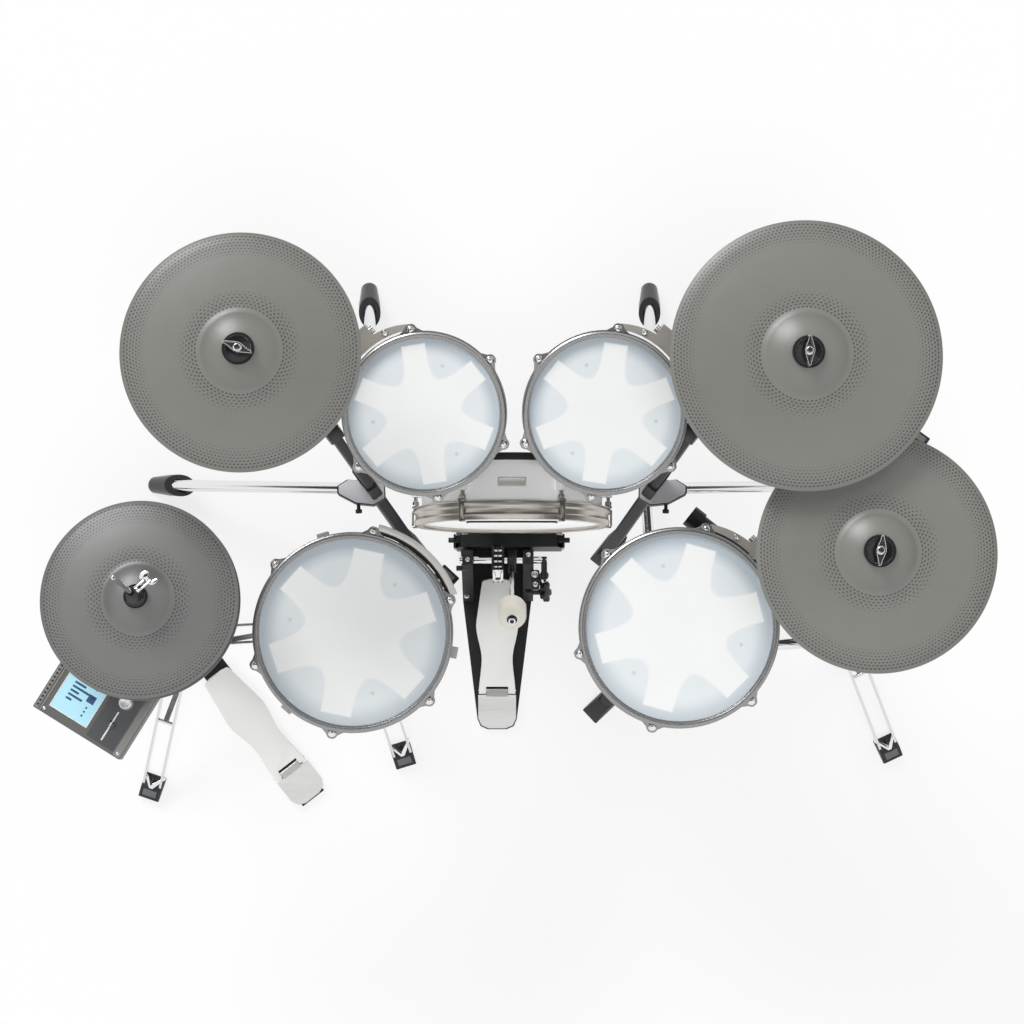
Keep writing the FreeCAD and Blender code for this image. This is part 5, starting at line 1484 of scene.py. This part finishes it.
@dataclass
class KickPedal:
    """Kick pedal's works: shaft, cam, chain, beater, bolts and tension knob."""

    body: str = "kick_beater"
    shaft_y: float = 384.0
    shaft_z: float = 160.0
    shaft_from: float = -90.0
    shaft_to: float = 60.0
    shaft_r: float = 6.0
    cam_x: float = -24.0
    cam_r: float = 29.0
    cam_half: Profile = ((6.0, -11.0), (21.0, -11.0), (29.0, -9.5), (29.0, -7.0), (26.0, -5.0))
    holder: Point = (16.0, 30.0, 34.0)
    crank: Point = (10.0, 40.0, 12.0)
    chain_out: float = 3.0
    chain_from: float = 64.0
    chain_turn: float = 17.0
    chain_round: int = 7
    chain_step: float = 10.0
    chain_drop: int = 6
    link: Point = (2.0, 6.0, 11.5)
    link_x: float = 7.6
    pin: Corner = (8.6, 1.9)
    clip: Point = (18.0, 24.0, 4.0)
    clip_out: float = 9.5
    clip_turn: float = 46.0
    beater_x: float = 0.0
    beater_lean: float = 35.0
    beater_at: float = 168.0
    beater_half: Profile = ((4.2, -22.0), (16.0, -22.0), (21.6, -19.6), (24.0, -14.0))
    washer: Corner = (10.0, 192.0)
    tip_nut: Corner = (6.0, 198.0)
    film: float = 0.5
    bolts: tuple[tuple[float, float, float, float], ...] = (
        (40.0, 342.0, 168.0, 4.5), (39.0, 359.0, 168.0, 5.8), (-79.0, 330.0, 40.0, 5.0),
        (20.0, 316.0, 12.0, 5.0), (28.0, 392.0, 177.0, 4.0), (-76.0, 384.0, 177.0, 4.0))
    bolt_tall: float = 5.0
    knob_at: Point = (58.0, 333.0, 100.0)
    knob_turn: float = 66.0
    knob_radii: tuple[float, ...] = (18.0, 16.5, 10.5, 16.5)
    knob_lobes: int = 5
    knob_half: float = 4.5
    stem_from: Point = (24.0, 333.0, 96.0)
    tension_block: Point = (14.0, 34.0, 44.0)
    tension_at: Point = (40.0, 350.0, 146.0)
    stub: tuple[Point, Point] = ((-96.0, 372.0, 130.0), (-84.0, 372.0, 130.0))

    def build(self) -> None:
        """Model and dress the works."""
        self.axle = Matrix.Translation(spot(self.cam_x, self.shaft_y, self.shaft_z))
        self.beater_base = (Matrix.Translation(spot(self.beater_x, self.shaft_y, self.shaft_z))
                            @ about("X", self.beater_lean))
        self.shaft()
        self.chain()
        self.beater()
        self.fittings()

    def shaft(self) -> None:
        """Bright shaft with a grooved dark cam, a beater holder and the spring crank."""
        y, z = self.shaft_y, self.shaft_z
        axle = bar("kick_axle", spot(self.shaft_from, y, z), spot(self.shaft_to, y, z), self.shaft_r, 1.2)
        show(axle, self.body, CHROME, ["kick_shaft"])
        cam = settle(turned("cam", doubled(self.cam_half), 64, 0.6, True), self.axle @ about("Y", 90.0))
        holder = settle(block("holder", self.holder, (0, 0, 2), 3.0, 3), self.beater_base)
        crank = block("crank", self.crank, (0, -14, 0), 2.5)
        settle(crank, Matrix.Translation(spot(self.shaft_to - self.crank[0] / 2, y, z)))
        show(joined("kick_cam_and_holder", [cam, holder, crank]), self.body, BLACK_COAT)

    def chain_places(self) -> list[Matrix]:
        """Frames of the chain's pins: over the cam from the back, then down its front."""
        reach = self.cam_r + self.chain_out
        round_cam = [about("X", self.chain_from + self.chain_turn * k) @ shift(0.0, reach, 0.0)
                     for k in range(self.chain_round)]
        drop = [shift(0.0, -reach, -self.chain_step * k) @ about("X", 180.0)
                for k in range(1, self.chain_drop + 1)]
        return [self.axle @ place for place in round_cam + drop]

    def chain(self) -> None:
        """Double chain over the cam: dark side links, bright pins and a bright end clip."""
        link = block("link", self.link, ease=0.9)
        half, r = self.pin
        pin = bar("pin", mm(-half, 0, 0), mm(half, 0, 0), r, 0.5, 16)
        places = self.chain_places()
        sides = [place @ shift(x, 0.0, 0.0) for place in places for x in (-self.link_x, 0.0, self.link_x)]
        links = repeated(link, "kick_chain_links", sides)
        show(links, self.body, BLACK_PLASTIC, ["kick_chain"])
        show(repeated(pin, "kick_chain_pins", places), self.body, CHROME)
        clip = block("kick_chain_clip", self.clip, ease=1.2)
        sink(clip, 4.0, 2.0)
        front = about("X", self.clip_turn) @ shift(0.0, 0.0, self.cam_r + self.clip_out)
        show(settle(clip, self.axle @ front), self.body, CHROME)

    def beater(self) -> None:
        """Felt beater on its rod, with thin dark films on the rod's nut as painted shade for its groove and
        socket.
        """
        profile = offset(doubled(self.beater_half), 0.0, self.beater_at)
        felt = turned("kick_beater_soft", profile, 64, 2.0, True)
        show(settle(felt, self.beater_base), self.body, FELT_CREAM, ["kick_beater_felt"])
        dress("kick_beater_rod", CHROME)
        (wide, flat), (r, tip) = self.washer, self.tip_nut
        # painted shade: thin dark films on the nut stand in for the shade in its groove and socket
        inner, outer, hole = r + 0.2, wide - 1.0, r * 0.62
        groove = turned("groove", [(inner, flat), (outer, flat), (outer, flat + self.film),
                                   (inner, flat + self.film)], 36, 0.1, True)
        disc = [(0, tip), (hole, tip), (hole, tip + self.film), (0, tip + self.film)]
        socket = turned("socket", disc, 24, 0.1)
        dark = settle(joined("kick_beater_painted_shade_films", [groove, socket]), self.beater_base)
        show(dark, self.body, BLACK_GLOSS)

    def fittings(self) -> None:
        """Bolts on the towers, the tension knob and its block."""
        bolts = [bolt("bolt", spot(x, y, z), r, self.bolt_tall) for x, y, z, r in self.bolts]
        show(joined("kick_bolts", bolts), "stands", CHROME)
        radii = self.knob_radii * self.knob_lobes
        star = [polar(r, 360.0 / len(radii) * k) for k, r in enumerate(radii)]
        knob = plate("knob", star, -self.knob_half, self.knob_half, 1.4, 1.0)
        settle(knob, Matrix.Translation(spot(*self.knob_at)) @ about("Y", self.knob_turn))
        stem = bar("stem", spot(*self.stem_from), spot(*self.knob_at), 5.0)
        body = settle(block("body", self.tension_block, ease=3.0), Matrix.Translation(spot(*self.tension_at)))
        stub = bar("stub", *(spot(*end) for end in self.stub), 4.5)
        show(joined("kick_tension_knob", [knob, stem, body, stub]), "stands", BLACK_PLASTIC)


@dataclass
class BassPad:
    """Bass pad: front hoop with claws, dark back ring, riser pins, head mark and blank badge."""

    at: Point = (0.0, 435.0, 330.0)
    shell_r: float = 150.0
    hoop_r: float = 164.0
    hoop_fit: float = 3.9
    depth: float = 102.0
    front: float = 6.5
    back: float = 23.0
    lip: float = 17.0
    ring_t: float = 6.2
    ring_wide: float = 12.0
    lugs: int = 6
    lug_from: float = 42.0
    lug_at: float = 160.0
    hook: Corner = (3.4, 9.0)
    nose: Point = (9.0, 9.0, 3.0)
    tail: Point = (9.0, 13.0, 5.0)
    rod_r: float = 3.0
    claw_head: Profile = ((0.0, -2.6), (5.4, -2.6), (5.4, 3.4), (4.2, 4.6), (0.0, 4.6))
    line: Profile = ((-74.0, 22.0), (-72.0, 36.0), (0.0, 38.0), (72.0, 36.0), (74.0, 22.0))
    line_r: float = 2.0
    line_out: float = 1.2
    badge: Point = (46.0, 16.0, 2.4)
    badge_back: float = 54.0
    pins: Profile = ((-110.0, -90.0), (80.0, 100.0))
    pin_at: Corner = (422.0, 108.0)
    pin_r: float = 4.5
    side: Point = (4.0, 24.0, 60.0)
    side_x: Corner = (-99.0, 89.0)
    side_at: Corner = (420.0, 92.0)

    def build(self) -> None:
        """Model and dress the hoop side of the pad."""
        self.base = Matrix.Translation(spot(*self.at)) @ about("X", 90.0)
        self.hoops()
        self.claws()
        dress("bass_shell", SHELL_SILVER)
        dress("bass_head", BASS_HEAD)
        dress("bass_riser", BLACK_COAT)
        self.marks()
        self.riser_trim()

    def hoops(self) -> None:
        """Rolled front hoop with a bright inner step, and the dark ring at the back."""
        r, front, back = self.hoop_r, self.front, -self.back
        inner, wall = r - self.lip, self.shell_r + self.hoop_fit
        profile = [(inner, 0.2), (wall, 0.2), (wall, back), (r - 1, back), (r, back + 2), (r, back + 8),
                   (r - 3.5, back + 11), (r - 3.5, -4.5), (r - 1.5, -1.5), (r - 3.0, front),
                   (inner + 2, front), (inner, front - 1.2)]
        hoop = turned("bass_hoop_rolled", profile, 160, 0.7, True)
        show(settle(hoop, self.base), "stands", CHAMPAGNE, ["bass_hoops"])
        near, wide = self.shell_r + 0.2, self.shell_r + self.ring_t
        low, high = -self.depth, -self.depth + self.ring_wide
        section = [(near, low), (wide, low), (wide, high), (near, high)]
        ring = turned("bass_back_ring", section, 128, 0.8, True)
        show(settle(ring, self.base), "stands", BLACK_COAT)

    def claws(self) -> None:
        """Slim claw hooks over the hoop, with tension rods that run back into the lugs."""
        r, at, back = self.hoop_r, self.lug_at, -self.back
        hook = block("hook", (*self.hook, self.back + 4), (r + 0.8, 0, (self.front + back) / 2 + 1), 1.2)
        nose = block("nose", self.nose, (r - 3.0, 0, self.front + 1.4), 1.1)
        tail = block("tail", self.tail, (at + 1.5, 0, back - 2.6), 1.4)
        rod = bar("rod", mm(at, 0, -self.lug_from - 2), mm(at, 0, back), self.rod_r)
        head = settle(turned("head", self.claw_head, 24, 0.6), shift(at, 0.0, back - 9))
        claw = joined("claw", [hook, nose, tail, rod, head])
        places = [self.base @ about("Z", 360.0 / self.lugs * k) for k in range(self.lugs)]
        show(repeated(claw, "bass_claws", places), "stands", NICKEL)

    def marks(self) -> None:
        """Thin line on the head and a blank badge on the shell."""
        x, y, z = self.at
        route = [spot(x + across, y - self.line_out, z + rise) for across, rise in self.line]
        show(wire_rod("bass_head_line", route, self.line_r, 5.0), "stands", BLACK_PLASTIC)
        badge = block("bass_badge", self.badge, ease=0.8)
        sink(badge, 1.4, 0.7)
        settle(badge, Matrix.Translation(spot(x, y + self.badge_back, z + self.shell_r + 0.2)))
        show(badge, "stands", BRACKET_SILVER)

    def riser_trim(self) -> None:
        """End pins and side plates of the riser."""
        x = self.at[0]
        pins = [bar("pin", spot(x + a, *self.pin_at), spot(x + b, *self.pin_at), self.pin_r, 1.2)
                for a, b in self.pins]
        show(joined("riser_pins", pins), "stands", BLACK_PLASTIC)
        sides = [settle(block("side", self.side, ease=1.2), Matrix.Translation(spot(x + a, *self.side_at)))
                 for a in self.side_x]
        show(joined("riser_sides", sides), "stands", BLACK_GLOSS)


@dataclass
class Module:
    """Sound module: trims, vents, dark field, screen, light strip, screws, knob and slider."""

    corner: Point = (-747.0, 122.5, 650.0)
    heading: float = -31.7
    width: float = 159.0
    length: float = 178.0
    margin: float = 1.5
    strips: tuple[Point, ...] = ((1.5, 7.0, 1.2), (10.5, 2.6, 1.0))
    vent: Point = (3.6, 3.4, 0.3)
    vent_x: float = 3.2
    vent_from: float = 6.0
    vent_step: float = 7.0
    flange: float = 12.0
    field: tuple[float, float, float] = (95.0, 6.0, 48.0)
    screen: tuple[float, float, float, float] = (22.0, 16.0, 66.0, 104.0)
    screen_edge: float = 1.2
    frame_wide: float = 1.4
    ink: float = 0.25
    icon_step: float = 7.0
    key: Point = (22.0, 34.0, 13.0)
    dot: float = 3.0
    dot_x: float = 17.0
    dot_rows: Corner = (10.0, 56.0)
    level: Point = (14.0, 22.0, 3.4)
    strip_x: float = 119.0
    strip_wide: float = 2.4
    strip: Corner = (11.5, 62.5)
    slider_y: float = 40.0
    cap: Point = (13.0, 8.0, 5.0)
    cap_z: float = 2.9
    cap_line: Point = (2.4, 7.0, 0.6)
    cap_line_z: float = 5.6

    def build(self) -> None:
        """Dress the housing and lay its fittings on the panel."""
        self.base = upright(*self.corner, self.heading)
        dress("module_housing", MODULE_GREY)
        dress("module_screen", SCREEN_BLUE)
        self.trims()
        self.icons()
        self.knob()
        self.slider()

    def tile(self, name: str, x: float, y: float, wide: float, tall: float, high: float,
             lift: float = 0.05) -> Piece:
        """Thin eased tile lying on the panel, measured from the panel's corner in mm."""
        middle = (x + wide / 2, y + tall / 2, high / 2 + lift)
        return settle(block(name, (wide, tall, high), middle, min(0.3, high * 0.4)), self.base)

    def trims(self) -> None:
        """Strips and vents along the left edge, pale flange on the right and the dark field between."""
        edge = self.margin
        run = self.length - 2 * edge
        left = [self.tile("strip", x, edge, wide, run, high) for x, wide, high in self.strips]
        show(joined("module_strips", left), "module", MODULE_TRIM)
        vents = [self.tile("vent", self.vent_x, self.vent_from + self.vent_step * k, *self.vent, 1.2)
                 for k in range(int(run / self.vent_step) - 1)]
        show(joined("module_vents", vents), "module", BLACK_PLASTIC)
        flange = self.tile("module_flange", self.width - self.flange - 1, edge, self.flange, run, 1.0)
        show(flange, "module", MODULE_TRIM)
        x, y, wide = self.field
        dark = self.tile("module_field", x, y, wide, self.length - 2 * y, 0.6)
        show(dark, "module", MODULE_DARK)
        low, high = self.strip
        strip = self.tile("module_light_strip", self.strip_x - self.strip_wide / 2, low, self.strip_wide,
                          high - low, 1.0)
        show(strip, "module", LIGHT_STRIP)
        screws = [bolt("screw", self.base @ mm(x, y, 0.9), 2.6, 1.6)
                  for x in (17, self.width - 7) for y in (7, self.length - 9)]
        show(joined("module_screws", screws), "module", CHROME)

    def icons(self) -> None:
        """Pale frame round the screen and plain icons: a key, two rows of dots and level bars."""
        x, y, wide, tall = self.screen
        edge, side = self.screen_edge, self.frame_wide
        far = edge - side
        long = wide + 2 * edge
        rims = ((x - edge, y - edge, long, side), (x - edge, y + tall + far, long, side),
                (x - edge, y, side, tall), (x + wide + far, y, side, tall))
        sides = [self.tile("side", *rim, 0.8) for rim in rims]
        show(joined("screen_frame", sides), "module", LIGHT_STRIP)
        right, step, dot, ink = x + wide, self.icon_step, self.dot, self.ink
        inset, up, size = self.key
        marks = [self.tile("key", right - inset, y + up, size, size, ink)]
        marks += [self.tile("dot", right - self.dot_x, y + start + step * k, dot, dot, ink)
                  for start in self.dot_rows for k in range(3)]
        inset, up, thick = self.level
        marks += [self.tile("level", x + inset, y + up + step * k, 10 + 5 * (k * 3 % 5), thick, ink)
                  for k in range(9)]
        show(joined("screen_icons", marks), "module", SCREEN_INK)

    def knob(self) -> None:
        """Turned knob with a rim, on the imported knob's place."""
        low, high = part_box("module_knob")
        middle = (low + high) / 2
        tall, r = (high.z - low.z) / MM, (high.x - low.x) / 2 / MM
        profile = [(0, 0), (r, 0), (r, 2), (r - 0.8, 3), (r - 1.2, tall - 2), (r - 2.4, tall), (r - 4, tall),
                   (r - 4.6, tall - 0.8), (0, tall - 1.2)]
        piece = turned("module_knob_turned", profile, 64, 0.3)
        settle(piece, Matrix.Translation((middle.x, middle.y, low.z)))
        show(piece, "module_knob", KNOB_SILVER, ["module_knob"])

    def slider(self) -> None:
        """Flat slider cap with a pale line."""
        x, y = self.strip_x, self.slider_y
        cap = settle(block("module_slider_cap", self.cap, (x, y, self.cap_z), 1.2), self.base)
        show(cap, "module_slider", MODULE_DARK, ["module_slider"])
        line = settle(block("module_slider_line", self.cap_line, (x, y, self.cap_line_z), 0.2), self.base)
        show(line, "module_slider", LIGHT_STRIP)


@dataclass(frozen=True)
class Post:
    """Leaning post, from its foot on the floor to its top."""

    foot: Point
    top: Point

    def run(self) -> Vector:
        """Way from its foot to its top in mm."""
        return Vector(self.top) - Vector(self.foot)

    def at(self, height: float) -> Vector:
        """Point of the post's line at a height in mm."""
        return Vector(self.foot) + self.run() * (height / self.run().z)


LEFT_POST = Post((-167.0, 408.0, 0.0), (-351.0, 640.0, 930.0))
RIGHT_POST = Post((167.0, 408.0, 0.0), (351.0, 640.0, 930.0))
FLOOR_POST = Post((155.0, 138.0, 0.0), (394.0, 365.0, 480.0))


@dataclass
class Rack:
    """What a leaning post stands on: leg block with a pale cap, scooped boots and a wedge foot."""

    name: str
    post: Post
    hub_z: float
    boots: tuple[Corner, Corner]
    reach: float = 60.0
    side: float = 26.0
    slim: float = 13.0
    back: float = 20.0
    tall: float = 40.0
    cap_share: float = 0.95
    knob_at: float = 26.0
    knob_stem: Corner = (12.0, 3.0)
    knob_grip: Point = (8.0, 15.0, 5.5)
    leg_start: float = 36.0
    leg_end_z: float = 16.0
    boot_profile: Profile = ((0.0, 1.0), (10.4, 1.0), (10.4, -34.0), (15.0, -62.0), (19.5, -62.0),
                             (18.8, -20.0), (15.4, 14.0), (14.5, 25.0), (11.5, 30.0), (6.0, 32.0),
                             (0.0, 32.0))
    scoop_at: float = -40.0
    wedge: Point = (56.0, 34.0, 45.0)
    wedge_head: Corner = (54.0, 25.0)

    def build(self) -> None:
        """Model the block, the boots and the wedge."""
        self.hub = self.post.at(self.hub_z)
        self.ways = [(Vector(boot) - self.hub.xy).normalized() for boot in self.boots]
        self.leg_block()
        self.clamp_knob()
        feet = [self.boot(way, mark) for way, mark in zip(self.ways, self.boots)]
        show(joined(f"{self.name}_boots", feet), "stands", BOOT_RUBBER, ["rack_feet"])
        show(self.wedge_foot(), "stands", RUBBER_BLACK, ["rack_feet"])

    def leg_block(self) -> None:
        """Dark block that the legs and the post pass through, under a pale cap."""
        first, second = self.ways
        reach, side, slim, back = self.reach, self.side, self.slim, self.back
        lone = reach * 0.9
        marks = [(0, -side), (reach * 0.5, -side), (reach, -slim), (reach, 0), (reach * 0.7, slim),
                 (side, slim), (slim, side), (slim, lone), (-slim, lone), (-back, back), (-back, -slim)]
        flat = [tuple(first * a + second * b) for a, b in marks]
        place = Matrix.Translation(spot(*self.hub))
        half = self.tall / 2
        body = settle(plate(f"{self.name}_block", flat, -half, half - 3, 1.2, 2.0), place)
        show(body, "stands", BLACK_COAT, ["rack_leg_blocks"])
        small = [(x * self.cap_share, y * self.cap_share) for x, y in flat]
        cap = settle(plate(f"{self.name}_block_cap", small, half - 4, half + 0.4, 1.4, 2.0), place)
        show(cap, "stands", BLOCK_GREY)

    def clamp_knob(self) -> None:
        """Small knob on the block's near side."""
        first, second = self.ways
        at = self.hub + Vector((*(first * self.knob_at - second * self.side), 0))
        away = Vector((*(-second), 0))
        long, r = self.knob_stem
        stem = bar("stem", spot(*at), spot(*(at + away * long)), r)
        near, far, r = self.knob_grip
        grip = bar("grip", spot(*(at + away * near)), spot(*(at + away * far)), r, 1.6)
        show(joined(f"{self.name}_clamp_knob", [stem, grip]), "stands", BLACK_PLASTIC)

    def boot(self, way: Vector, mark: Corner) -> Piece:
        """Boot on a leg's end: turned, scooped at the mouth by a slanted cut and flat on the floor."""
        start = self.hub + Vector((*(way * self.leg_start), 0))
        end = Vector((*mark, self.leg_end_z))
        out = (end - start).normalized()
        across = UP.cross(out).normalized()
        piece = turned("boot", self.boot_profile, 64, 0.8)
        shear_off(piece, mm(0, 0, self.scoop_at), Vector((1, 0, -1)))
        settle(piece, Matrix.Translation(spot(*end)) @ axes(out.cross(across), -across, out))
        shear_off(piece, Vector((0, 0, 0)), -UP)
        return piece

    def wedge_foot(self) -> Piece:
        """Flared foot under the post, its top drawn in and carried along the lean."""
        long, wide, tall = self.wedge
        corners = [(-long / 2, -wide / 2), (long / 2, -wide / 2), (long / 2, wide / 2), (-long / 2, wide / 2)]
        piece = plate(f"{self.name}_wedge_foot", corners, 0.0, tall, 0.0)
        pick(piece, is_top)
        shrink = (self.wedge_head[0] / long, self.wedge_head[1] / wide, 1.0)
        bpy.ops.transform.resize(value=shrink, center_override=(0, 0, tall * MM))
        lean = self.post.run()
        bpy.ops.transform.translate(value=(lean.xy.length * tall / lean.z * MM, 0, 0))
        pick_all()
        round_off(2.0, 3)
        put_down()
        return settle(piece, upright(*self.post.foot, math.degrees(math.atan2(lean.y, lean.x))))


@dataclass
class TomClamps:
    """Dark clamps of the two tom arms round their posts."""

    posts: tuple[Post, Post] = (LEFT_POST, RIGHT_POST)
    height: float = 630.0
    size: Point = (27.0, 49.0, 46.0)

    def build(self) -> None:
        """Model both clamps as one piece."""
        pieces = []
        for post in self.posts:
            up = post.run().normalized()
            side = UP.cross(up).normalized()
            place = Matrix.Translation(spot(*post.at(self.height))) @ axes(side, up.cross(side), up)
            pieces.append(settle(block("clamp", self.size, ease=3.0, segments=3), place))
        show(joined("tom_arm_clamps", pieces), "stands", BLACK_COAT)


@dataclass
class Tripod:
    """Block feet of one tripod: rubber shoe with a sloped nose and band, and a bright clip for the struts."""

    name: str
    at: Corner
    legs: tuple[float, float, float]
    radius: float
    wide: float = 36.0
    inner: float = 26.0
    outer: float = 18.0
    tall: float = 26.0
    nose: float = 15.0
    band: Corner = (13.0, 2.4)
    band_at: float = 0.42
    band_share: float = 0.68
    tongue: Point = (20.0, 6.0, 4.0)
    tongue_at: float = -11.0
    tongue_lift: float = 1.6
    clip_arm: Corner = (-30.0, -23.0)
    clip_waist: Corner = (-1.0, 3.0)
    clip_notch: float = -9.0
    clip_lift: float = 0.2
    clip_t: float = 4.0

    def build(self) -> None:
        """Model the shoes and clips of the three legs."""
        places = [upright(*self.at, 0.0, turn) @ shift(self.radius, 0.0, 0.0) for turn in self.legs]
        inner, outer, tall, nose = -self.inner, self.outer, self.tall, self.nose
        side = [(inner, 0), (outer, 0), (outer, nose), (0, tall), (inner, tall)]
        shoe = settle(plate("shoe", side, -self.wide / 2, self.wide / 2, 1.6, 1.2), about("X", 90.0))
        shoes = repeated(shoe, f"{self.name}_shoes", places)
        show(shoes, "stands", RUBBER_BLACK, ["tripod_feet"])
        slope = math.degrees(math.atan2(tall - nose, outer))
        lie = shift(outer * self.band_at, 0.0, tall - (tall - nose) * self.band_at) @ about("Y", slope)
        long, thick = self.band
        band = settle(block("band", (long, self.wide * self.band_share, thick), ease=0.8), lie)
        show(repeated(band, f"{self.name}_bands", places), "stands", BAND_GREY)
        tongue = block("tongue", self.tongue, (self.tongue_at, 0, tall + self.tongue_lift), 1.2)
        show(repeated(tongue, f"{self.name}_tongues", places), "stands", BLACK_GLOSS)
        half = self.wide / 2 + 1
        back, front = self.clip_arm
        arms = doubled([(back, half), (front, half), self.clip_waist]) + [(self.clip_notch, 0)]
        low = tall + self.clip_lift
        clip = plate("clip", arms, low, low + self.clip_t, 1.0, 0.8)
        show(repeated(clip, f"{self.name}_clips", places), "stands", CHROME)


LEFT_CRASH_AT = (-400.0, 635.0, 978.0)
RIDE_AT = (431.0, 627.0, 1003.0)
RIGHT_CRASH_AT = (538.0, 341.0, 946.0)
HAT_PEDAL_HEADING = math.degrees(math.atan2(166, -130))


def kit() -> list[Part]:
    pads = [Pad("snare", (-251, 239, 612), 3.0, 158.5, 115.0, 18.4, 48.4, 24.5, 131.0, False),
            Pad("floor_tom", (263, 246, 622), 3.0, 158.5, 125.0, 14.6, 44.6, 24.5, 131.0, dot_turn=90.0),
            Pad("left_tom", (-137, 576, 690), 10.0, 129.5, 128.0, 39.0, 129.0, 19.0, 109.0),
            Pad("right_tom", (145, 577, 690), 10.0, 129.5, 128.0, 21.0, 51.0, 19.0, 109.0, dot_turn=90.0)]
    cymbals = [Cymbal("left_crash", "left_crash", upright(*LEFT_CRASH_AT), 178.0, 61.0),
               Cymbal("ride", "ride", upright(*RIDE_AT), 200.0, 65.0),
               Cymbal("right_crash", "right_crash", upright(*RIGHT_CRASH_AT), 178.0, 61.0)]
    seats = [CymbalSeat("left_crash", LEFT_CRASH_AT, -18.0), CymbalSeat("ride", RIDE_AT, 92.0),
             CymbalSeat("right_crash", RIGHT_CRASH_AT, 87.0)]
    racks = [Rack("left", LEFT_POST, 325.0, ((-612, 526), (-252, 858))),
             Rack("right", RIGHT_POST, 325.0, ((612, 526), (243, 858))),
             Rack("floor", FLOOR_POST, 182.0, ((592, 254), (230, 587)))]
    tripods = [Tripod("crash_stand", (526, 348), (-65.0, 54.0, 180.0), 317.0),
               Tripod("snare_stand", (-244, 226), (-73.0, 47.0, 167.0), 185.0),
               Tripod("hihat_stand", (-547, 234), (-109.0, 9.0, 131.0), 255.0)]
    boards = [Footboard("kick_footboard", "kick_pedal", (-26, 165, 24), 90.0, 197.0, 17.0),
              Footboard("hihat_footboard", "hihat_pedal", (-389, 30, 24), HAT_PEDAL_HEADING, 208.0, 15.0)]
    return [*pads, *cymbals, *seats, *racks, *tripods, *boards, HiHat(), KickPedal(), BassPad(), Module(),
            TomClamps()]


def main() -> None:
    """Build the studio and every sub-assembly in order."""
    logging.basicConfig(level=logging.INFO)
    Studio().build()
    for node, finish in PLAIN.items():
        dress(node, finish)
    for part in kit():
        part.build()
        LOG.info("%s built", type(part).__name__)


if __name__ == "__main__":
    main()
